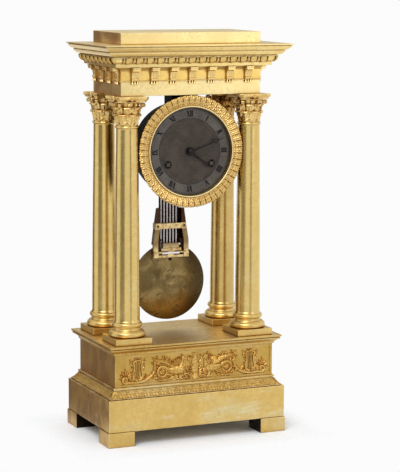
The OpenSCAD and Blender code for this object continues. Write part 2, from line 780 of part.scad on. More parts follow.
spring_turns = 7;
spring_t = 0.6;
spring_in_r = barrel_hub_r + 1;
spring_out_r = barrel_r - barrel_t - spring_t;
function coil(r0, r1, turns, steps) = [
    for (i = [0:steps]) spoke(r0 + (r1 - r0) * i / steps, 360 * turns * i / steps)
];
module mainspring(p) {
    steps = spring_turns * 18;
    low = coil(spring_in_r, spring_out_r, spring_turns, steps);
    high = coil(spring_in_r + spring_t, spring_out_r + spring_t, spring_turns, steps);
    slab(barrel_y + barrel_t + 0.6, barrel_back_y - barrel_y - 2 * barrel_t - 1.2) translate(p)
        polygon(concat(low, [for (i = [steps:-1:0]) high[i]]));
}

ratchet_r = 8.6;
ratchet_teeth = 30;
key_w = 4.4;
function saw_points(n, r, deep) = [
    for (i = [0:n - 1], k = [0:1]) spoke(r - deep * k, 360 * (i + 0.25 * k) / n)
];
module winding_arbor(p) {
    bar_y(p, barrel_hub_r, front_plate_y + plate_t + play, back_plate_y - play);
    bar_y(p, winding_r, front_plate_y - 1, back_plate_y + plate_t);
    slab(front_plate_y - 2, 1.6) translate(p) polygon(saw_points(ratchet_teeth, ratchet_r, 1));
    slab(dial_y - 1.6, front_plate_y - dial_y + 0.6) translate(p) square(key_w, center = true);
}

module going_barrel() color(brass) barrel(going_at);
module going_spring() color(steel) mainspring(going_at);
module going_arbor() color(steel) winding_arbor(going_at);
module strike_barrel() color(brass) barrel(strike_at);
module strike_spring() color(steel) mainspring(strike_at);
module strike_arbor() color(steel) winding_arbor(strike_at);

module second_wheel() {
    turn = mesh_turn(angle_of(going_at, second_at), barrel_teeth, leaf_count);
    color(brass) {
        wheel(second_at, second_teeth, second_mod, -10.2, 1, 4.6);
        pinion(second_at, leaf_count, barrel_mod, turn, -15, -9.8);
        arbor(second_at);
    }
}

module centre_wheel() {
    turn = mesh_turn(angle_of(second_at, centre_at), second_teeth, leaf_count);
    color(brass) {
        wheel(centre_at, centre_teeth, centre_mod, -7.6, 1);
        pinion(centre_at, leaf_count, second_mod, turn, -11, -7.2);
        arbor(centre_at);
        bar_y(centre_at, arbor_r + 0.4, minute_hand_y - 1.4, front_plate_y + plate_t);
    }
}

module third_wheel() {
    turn = mesh_turn(angle_of(centre_at, third_at), centre_teeth, small_leaf_count);
    color(brass) {
        wheel(third_at, third_teeth, third_mod, -20, 1);
        pinion(third_at, small_leaf_count, centre_mod, turn, -8.6, -5.8);
        arbor(third_at);
    }
}

escape_r = 10;
module escape_wheel() {
    turn = mesh_turn(angle_of(third_at, escape_at), third_teeth, small_leaf_count);
    color(brass) {
        slab(-12, 1) translate(escape_at) crossed(escape_r - 2.6, 2.4, 1.4)
            polygon(saw_points(escape_teeth, escape_r, 1.2));
        pinion(escape_at, small_leaf_count, third_mod, turn, -21, -18);
        arbor(escape_at);
    }
}

// The anchor rocks above the escape wheel, and its crutch reaches back to the pendulum
crutch_y = 9;
crutch_len = 16;
pallet_at = escape_r + 1.1;
pallet_turn = 44;
module anchor() {
    drop = anchor_at[1] - escape_at[1];
    band = concat(
        arc(0, -drop, pallet_at + 3.2, 90 - pallet_turn, 90 + pallet_turn),
        arc(0, -drop, pallet_at, 90 + pallet_turn, 90 + pallet_turn - 3, 1),
        arc(0, -drop, pallet_at + 1, 90 + pallet_turn - 8, 98 - pallet_turn),
        arc(0, -drop, pallet_at, 93 - pallet_turn, 90 - pallet_turn, 1)
    );
    color(steel) {
        slab(-12.4, 1.8) translate(anchor_at) {
            circle(r = 2.6);
            polygon(band);
        }
        bar_y(anchor_at, arbor_r, front_plate_y + plate_t + play, crutch_y + 1);
        bar_y(anchor_at, pivot_r, front_plate_y, 0);
        slab(crutch_y, 1.6) translate(anchor_at) union() {
            circle(r = 2.8);
            translate([-1.2, -crutch_len]) square([2.4, crutch_len]);
        }
        bar_y(anchor_at + [0, -crutch_len + 1.4], 1, crutch_y + 0.8, pendulum_y - 1);
    }
}

// Motion work: the cannon pinion turns the minute wheel, whose pinion turns the hour wheel
motion_y = front_plate_y - 2.8;
hour_wheel_y = motion_y - 2.6;
hour_hand_y = dial_y - 3.2;
minute_hand_y = hour_hand_y - 2.2;
hand_t = 0.9;
cannon_bore_r = arbor_r + 0.4;
cannon_r = 2.3;
hour_pipe_r = 3.3;
cannon_turn = 180 / cannon_teeth - 90;
module cannon_pinion() {
    color(steel) difference() {
        union() {
            pinion(centre_at, cannon_teeth, motion_mod, cannon_turn, motion_y - 0.4, motion_y + 1.6);
            bar_y(centre_at, cannon_r, minute_hand_y, motion_y);
        }
        bar_y(centre_at, cannon_bore_r + run, minute_hand_y - 1, motion_y + 3);
    }
}

module minute_wheel() {
    turn = mesh_turn(-90, cannon_teeth, minute_teeth) - cannon_turn * cannon_teeth / minute_teeth;
    color(brass) difference() {
        union() {
            slab(motion_y, 1.2) translate(minute_at) polygon(gear_points(minute_teeth, motion_mod, turn));
            pinion(minute_at, leaf_count, hour_mod, 90, hour_wheel_y - 0.4, motion_y);
        }
        bar_y(minute_at, 1.2 + run, hour_wheel_y - 2, motion_y + 3);
    }
}

module hour_wheel() {
    color(brass) difference() {
        union() {
            slab(hour_wheel_y, 1.2) polygon(gear_points(hour_teeth, hour_mod, 180 / hour_teeth - 90));
            bar_y(centre_at, hour_pipe_r, hour_hand_y, hour_wheel_y + 0.6);
        }
        bar_y(centre_at, cannon_r + run, hour_hand_y - 1, hour_wheel_y + 3);
    }
}

// Pierced-moon hands, stored at about twelve minutes past four
minute_turn = -70;
hour_turn = -126;
module hand(y, turn, bore_r, length, moon_r) {
    moon = length * 0.74;
    slab(y, hand_t) rotate(turn) difference() {
        union() {
            circle(r = bore_r + 1.9);
            polygon([[-1.1, 0], [1.1, 0], [0.8, moon], [-0.8, moon]]);
            translate([0, moon]) circle(r = moon_r);
            polygon([[-0.9, moon + moon_r - 0.3], [0.9, moon + moon_r - 0.3], [0, length]]);
        }
        circle(r = bore_r);
        translate([0, moon + 0.4]) circle(r = moon_r - 1);
    }
}

module minute_hand() color(dark) hand(minute_hand_y, minute_turn, cannon_r, minute_hand_len, 2.6);
module hour_hand() color(dark) hand(hour_hand_y, hour_turn, hour_pipe_r, hour_hand_len, 3);

// The strike: pins lift the hammer, a fly slows the run and the count wheel behind the plate sets the blows
pin_count = 10;
pin_ring_r = 10.9;
module pin_wheel() {
    turn = mesh_turn(angle_of(strike_at, pin_at), barrel_teeth, leaf_count);
    color(brass) {
        wheel(pin_at, pin_teeth, pin_mod, -10.2, 1, 4.6);
        pinion(pin_at, leaf_count, barrel_mod, turn, -15, -9.8);
        arbor(pin_at);
        bar_y(pin_at, arbor_r, back_plate_y - 1, count_y + 1);
        for (k = [0:pin_count - 1]) bar_y(pin_at + spoke(pin_ring_r, 360 * k / pin_count), 0.5, -9.6, -7.8);
    }
}

count_y = -1.8;
count_r = 15;
module count_wheel() {
    color(brass) slab(count_y, 1) translate(pin_at) difference() {
        circle(r = count_r);
        circle(r = arbor_r);
        for (k = [1:11]) rotate(360 * k * (k + 3) / 2 / 90) translate([count_r - 1.4, -0.8]) square([3, 1.6]);
    }
}

fly_w = 11;
module fly() {
    turn = mesh_turn(fly_way, pin_teeth, small_leaf_count);
    color(brass) {
        pinion(fly_at, small_leaf_count, pin_mod, turn, -11, -8.4);
        arbor(fly_at);
        slab(-24, 9) translate(fly_at) square([fly_w, 0.8], center = true);
    }
}

bell_at = [12, -4];
bell_y = 5;
bell_h = 11;
bell_t = 1.6;
post_r = 2;
module bell() {
    section = [
        [bell_r, 0], [bell_r - 0.8, 4], [bell_r - 3.5, 8], [bell_r - 9, bell_h - 1], [post_r, bell_h],
        [post_r, bell_h - bell_t], [bell_r - 10, bell_h - 1 - bell_t], [bell_r - 5, 7],
        [bell_r - bell_t - 0.8, 3.4], [bell_r - bell_t, 0],
    ];
    color(steel) translate([bell_at[0], bell_y, dial_z + bell_at[1]]) rotate([-90, 0, 0])
        rotate_extrude() polygon(section);
}

module bell_stand() {
    color(steel) {
        bar_y(bell_at, post_r, back_plate_y + plate_t, bell_y + bell_h + 1);
        bar_y(bell_at, post_r + 1.6, back_plate_y + plate_t, bell_y + bell_h - bell_t - 0.6);
    }
}

tail_len = 12;
hammer_head_at = bell_at + (bell_r + 4.4) * [-0.95, -0.31];
module hammer() {
    arm = hammer_head_at - hammer_at;
    color(steel) {
        arbor(hammer_at);
        bar_y(hammer_at, arbor_r, back_plate_y - 1, 6);
        slab(2, 1.6) translate(hammer_at) rotate(angle_of(hammer_at, hammer_head_at)) translate([-2, -1.5])
            square([norm(arm) + 2, 3]);
        slab(-9.4, 1.4) translate(hammer_at) rotate(angle_of(hammer_at, pin_at)) translate([0, -0.8])
            square([tail_len, 1.6]);
        bar_y(hammer_head_at, 3, 2, 10);
    }
}

// The pendulum hangs from a pin behind the back plate, on the anchor's own axis
cock_w = 20;
cock_y = back_plate_y + plate_t;
cock_back_y = pendulum_y - 4.5;
cheek_t = 3;
hang_pin_r = 2;
module suspension_cock() {
    color(brass) {
        slab(cock_y, cock_back_y - cock_y) translate(anchor_at) for (s = [-1, 1])
            translate([s * (cock_w - cheek_t) / 2 - cheek_t / 2, -4]) square([cheek_t, 10]);
        slab(cock_back_y - 2, 2) translate(anchor_at + [-cock_w / 2, -4]) square([cock_w, 10]);
        bar_y(anchor_at, hang_pin_r, cock_back_y - 2, pendulum_y + 4);
    }
}

// Heights of the pendulum's pieces, from the pivot down
pivot_z = dial_z + anchor_at[1];
bob_z = pivot_z - pendulum_len;
frame_low_z = bob_z + 30.4;
frame_top_z = frame_low_z + 60;
holder_z = frame_low_z + 8;
holder_h = 9.5;
cross_z = frame_low_z + 35.2;
cross_h = 6.6;
top_bar_z = pivot_z - 24;
top_bar_h = 6;
frame_t = 3.6;
rods_y = pendulum_y;
frame_y = pendulum_y - 8.5;
frame_back_y = pendulum_y + 2.5;
rod_drop = 2;
steel_x = [for (i = [-2.5:1:2.5]) i * rod_step];
bronze_x = [for (i = [-2:2]) i * rod_step];
outer_x = [for (s = [-1, 1]) 3 * s * rod_step];

module rod_row(places, y, low, high, r) {
    for (x = places) translate([x, y, low]) cylinder(r = r, h = high - low);
}

module steel_set() {
    rod_row(steel_x, rods_y, holder_z + holder_h - rod_drop, top_bar_z + rod_drop, rod_r);
}

module bronze_set() {
    rod_row(bronze_x, rods_y, holder_z + holder_h - rod_drop, top_bar_z + rod_drop, rod_r);
    rod_row(outer_x, rods_y, cross_z + rod_drop, top_bar_z + rod_drop, rod_r);
}

module steel_rods() color(steel) steel_set();
module bronze_rods() color("sienna") bronze_set();

// The eye and top bar, and below them the flared frame with its cross plate, rod holder and foot
frame_half = [16, 20, 23];
bar_w = 6.2;
foot_bar_h = 3;
corner_w = 6.6;
corner_h = 7;
corner_out = 0.8;
roller_r = 1.5;
roller_z = frame_low_z + 6;
flange_w = 26;
flange_h = 3.6;
panel_in = 3.4;
hook_w = 5;
top_bar_w = 30;
cross_w = 39;
holder_w = 20.8;
module pendulum_frame() {
    color(brass) difference() {
        union() {
            translate([0, pendulum_y - 2.5, pivot_z]) rotate([-90, 0, 0])
                cylinder(r = hang_pin_r + 2.4, h = 5);
            translate([-hook_w / 2, pendulum_y - 1, top_bar_z]) cube([hook_w, 2, pivot_z - top_bar_z]);
            deep_block(top_bar_w, rods_y - 2.5, top_bar_z, top_bar_h);
            deep_block(cross_w, frame_y, cross_z, cross_h);
            deep_block(holder_w, frame_y, holder_z, holder_h);
            upright(frame_y, frame_y + frame_t) {
                side_bars(frame_low_z);
                translate([-frame_half[2], frame_low_z]) square([2 * frame_half[2], foot_bar_h]);
                translate([-4, frame_low_z]) square([8, holder_z - frame_low_z + 1]);
            }
            upright(frame_y - corner_out, frame_y + frame_t) {
                for (s = [-1, 1]) translate([s * (frame_half[2] - corner_w / 2) - corner_w / 2, frame_low_z])
                    square([corner_w, corner_h]);
                translate([-flange_w / 2, holder_z]) square([flange_w, flange_h]);
            }
            translate([-frame_half[1], frame_y + roller_r, roller_z]) rotate([0, 90, 0])
                cylinder(r = roller_r, h = 2 * frame_half[1]);
            upright(frame_back_y - panel_t, frame_back_y) back_panel(bob_z + bob_r + 1.5);
        }
        translate([0, pendulum_y - 5, pivot_z]) rotate([-90, 0, 0]) cylinder(r = hang_pin_r + run, h = 10);
        steel_set();
        bronze_set();
    }
}

module deep_block(w, y, z, h) {
    translate([-w / 2, y, z]) cube([w, frame_back_y - y, h]);
}

module upright(y0, y1) {
    translate([0, y1, 0]) rotate([90, 0, 0]) linear_extrude(y1 - y0) children();
}

module side_bars(low_z) {
    side = [
        [frame_half[2], low_z], [frame_half[2], frame_low_z + 21], [frame_half[1], cross_z + 4],
        [frame_half[0] + 1, frame_top_z], [frame_half[0] - 2, frame_top_z],
        [frame_half[1] - bar_w, cross_z + 4], [frame_half[2] - bar_w, frame_low_z + 21],
        [frame_half[2] - bar_w, low_z],
    ];
    for (s = [-1, 1]) polygon([for (p = side) [s * p[0], p[1]]]);
}

// The dark panel behind the rods stands in from the bars
panel_t = 1.2;
module back_panel(low_z) {
    right = [[frame_half[2], low_z], [frame_half[1], cross_z + 4], [frame_half[0] + 1, frame_top_z]];
    polygon(concat(
        [for (p = right) [p[0] - panel_in, p[1]]], [for (i = [2:-1:0]) [panel_in - right[i][0], right[i][1]]]
    ));
}

// The bob is a lens with a slot at its top for the rod holder, and a stud that the frame's foot carries
stud_r = 2.2;
edge_t = 1.2;
bulge = (bob_t - edge_t) / 2;
lens_r = (bob_r * bob_r + bulge * bulge) / (2 * bulge);
slot_room = 1;
module bob() {
    shift = lens_r - bob_t / 2;
    color(dull_gilt) difference() {
        union() {
            translate([0, pendulum_y, bob_z]) rotate([-90, 0, 0]) rotate_extrude($fn = 128) intersection() {
                translate([0, -shift]) circle(r = lens_r, $fn = 256);
                translate([0, shift]) circle(r = lens_r, $fn = 256);
                translate([0, -bob_t]) square([bob_r, 2 * bob_t]);
            }
            translate([0, frame_y + frame_t, frame_low_z + 2.8]) rotate([-90, 0, 0])
                cylinder(r = stud_r, h = pendulum_y - frame_y - frame_t);
        }
        translate([-holder_w / 2 - slot_room, 0, holder_z - slot_room])
            cube([holder_w + 2 * slot_room, 2 * pendulum_y, bob_r]);
    }
}

rating_nut_r = 1.4;
nut_drop = 3.8;
module rating_nut() {
    color(brass) translate([0, frame_y + rating_nut_r, frame_low_z - nut_drop])
        cylinder(r = rating_nut_r, h = nut_drop);
}

feet();
plinth();
plinth_moulding();
relief_box();
base_relief();
base_top();
base_board();
column_bases();
tie_rods();
tie_rod_nuts();
architrave();
frieze();
modillions();
cornice();
attic_block();
for (c = CORNERS) translate([c[1] * column_x, c[2] * column_y, 0]) {
    column_shaft();
    capital();
}
drum();
drum_hanger();
hanger_bolts();
bezel();
dial();
front_plate();
back_plate();
pillars();
plate_screws();
going_barrel();
going_spring();
going_arbor();
second_wheel();
centre_wheel();
third_wheel();
escape_wheel();
anchor();
cannon_pinion();
minute_hand();
minute_wheel();
hour_wheel();
hour_hand();
strike_barrel();
strike_spring();
strike_arbor();
pin_wheel();
count_wheel();
fly();
bell();
bell_stand();
hammer();
suspension_cock();
steel_rods();
bronze_rods();
pendulum_frame();
bob();
rating_nut();
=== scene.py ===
import json
import math

import bmesh
import bpy
from mathutils import Matrix, Vector


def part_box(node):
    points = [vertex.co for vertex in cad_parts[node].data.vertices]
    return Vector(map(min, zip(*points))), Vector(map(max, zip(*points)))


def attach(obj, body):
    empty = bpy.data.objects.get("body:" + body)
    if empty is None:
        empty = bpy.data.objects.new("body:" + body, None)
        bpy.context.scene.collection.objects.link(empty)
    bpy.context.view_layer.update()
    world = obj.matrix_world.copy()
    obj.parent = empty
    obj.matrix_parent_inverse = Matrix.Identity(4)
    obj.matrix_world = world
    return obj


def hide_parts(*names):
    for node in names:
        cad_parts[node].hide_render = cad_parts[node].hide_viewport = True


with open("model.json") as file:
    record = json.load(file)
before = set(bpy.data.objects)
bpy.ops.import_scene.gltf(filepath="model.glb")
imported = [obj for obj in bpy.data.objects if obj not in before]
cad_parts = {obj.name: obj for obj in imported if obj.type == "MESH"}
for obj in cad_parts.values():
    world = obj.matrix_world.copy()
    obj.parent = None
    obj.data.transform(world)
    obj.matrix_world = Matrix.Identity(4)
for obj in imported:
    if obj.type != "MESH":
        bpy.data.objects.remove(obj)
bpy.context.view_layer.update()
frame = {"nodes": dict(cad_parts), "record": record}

MM = 0.001
WELD = 2e-6
BODY = "case"
GILT_SLOT = "gilt_bronze"
# Radius at which a turned outline meets its axis
AXIS = 0.01


# Sizes in millimetres, most of them from the frame's boxes
def span(node):
    """Lowest and highest corner of a CAD node, in millimetres."""
    low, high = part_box(node)
    return low / MM, high / MM


FEET = span("feet")
PLINTH = span("plinth")
BOX = span("relief_box")
STAND = span("base_top")
BEAM = span("architrave")
FRIEZE = span("frieze")
CORNICE = span("cornice")
ATTIC = span("attic_block")
BEZEL = span("bezel")
DIAL = span("dial")
BOB = span("bob")
CORNERS = ("fl", "fr", "bl", "br")
FOOT_W = 33
PANEL_SINK = 1.2
DIAL_Z = (BEZEL[0].z + BEZEL[1].z) / 2
DIAL_FRONT = DIAL[0].y


def axis_of(node):
    """Where an upright piece's axis stands, in millimetres."""
    low, high = span(node)
    return (low.x + high.x) / 2, (low.y + high.y) / 2


# Node trees: sums on a Wire add Math nodes, and Sheet.node adds any other node
class Wire:
    """A socket in a node tree."""

    def __init__(self, sheet, socket):
        self.sheet = sheet
        self.socket = socket

    def maths(self, operation, first, second, clamp=False):
        settings = {"operation": operation, "use_clamp": clamp}
        return self.sheet.node("ShaderNodeMath", settings, {0: first, 1: second})

    def __add__(self, other):
        return self.maths("ADD", self, other)

    def __radd__(self, other):
        return self.maths("ADD", other, self)

    def __sub__(self, other):
        return self.maths("SUBTRACT", self, other)

    def __rsub__(self, other):
        return self.maths("SUBTRACT", other, self)

    def __mul__(self, other):
        return self.maths("MULTIPLY", self, other)

    def __rmul__(self, other):
        return self.maths("MULTIPLY", other, self)

    def __truediv__(self, other):
        return self.maths("DIVIDE", self, other)

    def __rtruediv__(self, other):
        return self.maths("DIVIDE", other, self)

    def __pow__(self, other):
        return self.maths("POWER", self, other)

    def __rpow__(self, other):
        return self.maths("POWER", other, self)

    def __abs__(self):
        return self.maths("ABSOLUTE", self, 0.0)

    def least(self, other):
        return self.maths("MINIMUM", self, other)

    def most(self, other):
        return self.maths("MAXIMUM", self, other)

    def held(self):
        """The value kept between 0 and 1."""
        return self.maths("ADD", self, 0.0, clamp=True)


class Sheet:
    """A node tree under construction."""

    def __init__(self, tree):
        self.tree = tree

    def node(self, kind, settings=None, inputs=None, output=0):
        """Adds a node of any type: its settings first, then the values or links of its sockets."""
        made = self.tree.nodes.new(kind)
        for key, value in (settings or {}).items():
            setattr(made, key, value)
        for key, value in (inputs or {}).items():
            self.join(made.inputs[key], value)
        return Wire(self, made.outputs[output])

    def join(self, socket, value):
        if isinstance(value, Wire):
            self.tree.links.new(value.socket, socket)
        else:
            socket.default_value = value


class Finish(Sheet):
    """A material under construction, on the pieces' own millimetre places."""

    def __init__(self, name):
        self.material = bpy.data.materials.new(name)
        self.material.use_nodes = True
        super().__init__(self.material.node_tree)
        self.surface = self.tree.nodes["Principled BSDF"]
        self.place = self.node("ShaderNodeTexCoord", output="Object")

    def noise(self, size_mm, detail, place=None, distortion=0.0):
        """Cloudy noise from 0 to 1 with patches of about this size."""
        inputs = {
            "Vector": place or self.place, "Scale": 1 / (size_mm * MM), "Detail": detail,
            "Distortion": distortion,
        }
        return self.node("ShaderNodeTexNoise", {}, inputs)

    def stretched(self, x, y, z, lean=0.0):
        """Places squeezed along the axes, for streaks, which may lean in the front plane."""
        leaning = {"Vector": self.place, "Rotation": (0, math.radians(lean), 0)}
        leant = self.node("ShaderNodeMapping", {}, leaning)
        return self.node("ShaderNodeMapping", {}, {"Vector": leant, "Scale": (x, y, z)})

    def part_of_place(self, axis):
        """One coordinate of the place, in millimetres."""
        return self.node("ShaderNodeSeparateXYZ", {}, {0: self.place}, axis) / MM

    def radius_about(self, z, x=0.0):
        """Distance from an axis along Y at this height, in millimetres."""
        across, up = self.part_of_place(0) - x, self.part_of_place(2) - z
        return (across * across + up * up) ** 0.5

    def steps(self, value, low, high):
        """0 below low, 1 above high and smooth between."""
        settings = {"interpolation_type": "SMOOTHSTEP"}
        return self.node("ShaderNodeMapRange", settings, {"Value": value, 1: low, 2: high, 3: 0.0, 4: 1.0})

    def mix(self, share, first, second):
        return self.node("ShaderNodeMix", {"data_type": "RGBA"}, {0: share, 6: first, 7: second}, output=2)

    def sharp_edges(self, width_mm):
        """1 along the sharp edges, 0 on the faces."""
        eased = self.node("ShaderNodeBevel", {"samples": 4}, {"Radius": width_mm * MM})
        face = self.node("ShaderNodeNewGeometry", output="Normal")
        along = self.node("ShaderNodeVectorMath", {"operation": "DOT_PRODUCT"}, {0: eased, 1: face}, "Value")
        return self.steps(1 - along, 0.01, 0.1)

    def facing(self, axis, way):
        """1 on faces that look along an axis, one way or the other."""
        face = self.node("ShaderNodeTexCoord", output="Normal")
        return self.steps(self.node("ShaderNodeSeparateXYZ", {}, {0: face}, axis) * way, 0.6, 0.95)

    def open_sky(self, reach_mm):
        """1 on open surfaces, less in the hollows."""
        return self.node("ShaderNodeAmbientOcclusion", {"samples": 8}, {"Distance": reach_mm * MM}, "AO")

    def bump(self, height, depth_mm):
        inputs = {"Height": height, "Distance": depth_mm * MM, "Strength": 1.0}
        return self.node("ShaderNodeBump", {}, inputs)

    def sheen(self, level):
        """How much a surface that isn't metal mirrors."""
        self.surface.inputs["Specular IOR Level"].default_value = level

    def done(self, **sockets):
        for name, value in sockets.items():
            self.join(self.surface.inputs[name.replace("_", " ").title()], value)
        return self.material


def colour(red, green, blue):
    return (red, green, blue, 1.0)


# Tones of worn gilding, and of the painted shade and highlights on it
BROWN_HOLLOW = colour(0.33, 0.148, 0.03)
ORANGE_HOLLOW = colour(0.48, 0.24, 0.05)
RED_HOLLOW = colour(0.3, 0.13, 0.025)
PAINTED_SHADE_TONE = colour(0.3, 0.14, 0.035)
PALE_SMEAR = colour(0.7, 0.62, 0.34)
PALE_RUN = colour(0.6, 0.53, 0.25)
PALE_RUB = colour(0.8, 0.76, 0.55)
WORN_EDGE_HIGHLIGHT = colour(0.95, 0.84, 0.56)
BROWN_STAIN = colour(0.46, 0.27, 0.075)
LEFT_SHADE_TONE = colour(0.5, 0.27, 0.095)
LEFT_SHADE_BLOTCH = colour(0.17, 0.085, 0.032)
INNER_SHADE_TONE = colour(0.025, 0.017, 0.011)


# Wear and painted shade are given in shares from 0 to 1, reaches in millimetres, and the (x, y) of inner
# faces painted dark as shade
def gilding(
    name, bright, deep, rough, hollow=0.9, hollow_reach=3.2, hollow_tone=BROWN_HOLLOW, painted_shade=0.45,
    painted_shade_reach=30, stain=0.26, smears=0.3, rubbed=0.0, streaks=0.0, left_shade=0.0, left_shade_blotch=0.0, edges=0.0,
    chasing=0.0, darkening=0.5, sides=None, shaded_inside=None,
):
    """Worn gilding on bronze: cloudy tone, matt grain, brown patina and painted shade in the hollows, and the
    painted shade and highlights that its shares ask for.
    """
    f = Finish(name)
    patches = f.noise(46, 4.0, distortion=0.6)
    spots = f.noise(7, 3.0)
    mottle = f.noise(3.4, 3.0, distortion=0.5)
    grain = f.noise(0.7, 2.0)
    tone = f.steps(patches * 0.55 + spots * 0.3 + mottle * 0.15, 0.36, 0.66)
    gold = f.mix(tone, deep, bright)
    # Painted shade: faces that don't look up get a darker tone than the tops.
    if sides:
        gold = f.mix(f.facing(2, 1), f.mix(tone, deep, sides), gold)
    worn = f.steps(f.noise(58, 3.0, place=f.stretched(0.6, 1, 1.7)), 0.52, 0.7)
    gold = f.mix(worn * smears, gold, PALE_SMEAR)
    stains = f.steps(mottle * 0.55 + patches * 0.45, 0.5, 0.64)
    gold = f.mix(stains * stain, gold, BROWN_STAIN)
    roughness = rough + (spots - 0.5) * 0.16 + (1 - tone) * 0.07 + stains * 0.05
    if streaks:
        runs = f.steps(f.noise(5, 3.0, place=f.stretched(1, 1, 0.05)), 0.48, 0.66)
        gold = f.mix(runs * streaks, gold, PALE_RUN)
        roughness = roughness + runs * 0.06
    # Painted shade on the faces that look left, mottled, with dark blotches on them as well.
    if left_shade:
        side = f.facing(0, -1) * left_shade
        gold = f.mix(side * (0.35 + f.steps(patches, 0.4, 0.65) * 0.65), gold, LEFT_SHADE_TONE)
        if left_shade_blotch:
            blotches = f.noise(24, 5.0, place=f.stretched(1, 1.3, 0.8), distortion=0.8)
            share = side * f.steps(blotches + (spots - 0.5) * 0.2, 0.44, 0.66) * left_shade_blotch
            gold = f.mix(share, gold, LEFT_SHADE_BLOTCH)
    if rubbed:
        wipes = f.noise(11, 3.0, place=f.stretched(0.3, 1, 2.2, 4), distortion=0.4)
        rubs = f.steps(wipes, 0.54, 0.66) * f.steps(f.noise(52, 2.0), 0.46, 0.62)
        gold = f.mix(rubs * rubbed, gold, PALE_RUB)
        roughness = roughness + rubs * 0.1
    freckles = f.steps(f.noise(2.6, 2.0), 0.66, 0.78) * f.steps(patches, 0.45, 0.7)
    gold = f.mix(freckles * 0.35, gold, BROWN_HOLLOW)
    roughness = roughness + freckles * 0.15
    # Painted shade deep under and behind other parts, found by occlusion over a long reach.
    painted_shade_mask = f.steps(1 - f.open_sky(painted_shade_reach), 0.4, 0.95) * painted_shade
    gold = f.mix(painted_shade_mask, gold, PAINTED_SHADE_TONE)
    # Brown patina in the hollows, and painted shade there too.
    shade = f.steps(1 - f.open_sky(hollow_reach), 0.04, 0.62) * hollow
    gold = f.mix(shade.held(), gold, hollow_tone)
    # Wear along the sharp edges, painted paler as a highlight.
    if edges:
        worn_edge_highlight = f.sharp_edges(1.1) * edges * f.steps(spots, 0.3, 0.6)
        gold = f.mix(worn_edge_highlight, gold, WORN_EDGE_HIGHLIGHT)
        roughness = roughness + worn_edge_highlight * 0.3
    # Painted shade: the inner faces, at the given (x, y) and nearer the middle, go nearly black.
    if shaded_inside:
        past = (abs(f.part_of_place(0)) - shaded_inside[0]).least(abs(f.part_of_place(1)) - shaded_inside[1])
        gold = f.mix(1 - f.steps(past, 0.2, 0.8), gold, INNER_SHADE_TONE)
    height = (grain + spots * 0.8) * 0.02
    # Where the chasing marks are low, the gold is darker.
    if chasing:
        marks = f.noise(2.4, 2.0, distortion=1.2)
        height = height + marks * chasing
        gold = f.mix(f.steps(1 - marks, 0.48, 0.62) * darkening, gold, hollow_tone)
    return f.done(base_color=gold, metallic=1.0, roughness=roughness.held(), normal=f.bump(height, 1.0))


def dark_patina_and_shade():
    """Nearly black patina of the drum, with a little brown in it, darkened further as painted shade."""
    f = Finish("dark patina")
    patches = f.noise(18, 3.0)
    tone = f.mix(f.steps(patches, 0.4, 0.7), colour(0.0015, 0.001, 0.001), colour(0.009, 0.005, 0.003))
    f.sheen(0.05)
    return f.done(base_color=tone, roughness=0.42 + patches * 0.2, normal=f.bump(f.noise(0.8, 2.0), 0.03))


# Radii of the two lines that hold the numerals
CHAPTER_IN, CHAPTER_OUT = 39.1, 49.4


def dulled_dial():
    """Dark dulled silvering, turned in fine circles, with a paler ring for the numerals and a painted shadow
    of the bezel round its edge.
    """
    f = Finish("dulled dial")
    radius = f.radius_about(DIAL_Z)
    turning = f.node("ShaderNodeCombineXYZ", {}, {0: radius * 0.002})
    fine = f.noise(1.1, 3.0, place=turning)
    patches = f.noise(16, 4.0, distortion=0.8)
    grain = f.noise(1.6, 3.0, place=f.stretched(0.35, 1, 1))
    cloud = f.steps(patches * 0.6 + grain * 0.4, 0.3, 0.7)
    band = f.steps(radius, CHAPTER_IN - 0.5, CHAPTER_IN + 0.1)
    middle = f.mix(cloud, colour(0.032, 0.0245, 0.018), colour(0.07, 0.0545, 0.041))
    chapter = f.mix(cloud, colour(0.062, 0.053, 0.046), colour(0.128, 0.112, 0.099))
    tone = f.mix(band, middle, chapter)
    # Painted shadow of the bezel on the dial's edge, outside the numerals' ring.
    edge = f.steps(radius, CHAPTER_OUT, CHAPTER_OUT + 2.4)
    tone = f.mix(edge * 0.85, tone, colour(0.01, 0.009, 0.008))
    rough = 0.5 + (patches - 0.5) * 0.2
    return f.done(base_color=tone, metallic=0.5, roughness=rough, normal=f.bump(fine, 0.02))


def black_wax():
    """Black filling of the numerals and lines."""
    f = Finish("black wax")
    patches = f.noise(3, 2.0)
    tone = f.mix(patches, colour(0.006, 0.006, 0.007), colour(0.022, 0.02, 0.02))
    f.sheen(0.1)
    return f.done(base_color=tone, roughness=0.55 + patches * 0.2)


def blued_steel():
    """Dark steel of the hands, gone brown-black."""
    f = Finish("blued steel")
    patches = f.noise(4, 3.0)
    tone = f.mix(patches, colour(0.008, 0.008, 0.011), colour(0.03, 0.025, 0.022))
    return f.done(base_color=tone, metallic=0.8, roughness=0.3 + patches * 0.25)


def bright_steel(name, tint, metal):
    """Polished steel with fine lengthwise marks."""
    f = Finish(name)
    marks = f.noise(2, 3.0, place=f.stretched(1, 1, 0.08))
    stain = f.steps(f.noise(14, 3.0), 0.55, 0.75)
    tone = f.mix(stain * 0.4, tint, colour(0.34, 0.29, 0.27))
    return f.done(base_color=tone, metallic=metal, roughness=0.16 + marks * 0.16, normal=f.bump(marks, 0.01))


def old_bronze(name, light, dark):
    """Dull old brass with blotches and specks."""
    f = Finish(name)
    blotches = f.noise(22, 4.0, distortion=0.7)
    specks = f.noise(2.2, 3.0)
    tone = f.mix(f.steps(blotches, 0.36, 0.64), dark, light)
    tone = f.mix(f.steps(specks, 0.6, 0.74) * 0.55, tone, colour(0.07, 0.045, 0.02))
    rough = 0.38 + (blotches - 0.5) * 0.3 + specks * 0.1
    height = specks + blotches
    return f.done(base_color=tone, metallic=0.9, roughness=rough.held(), normal=f.bump(height, 0.05))


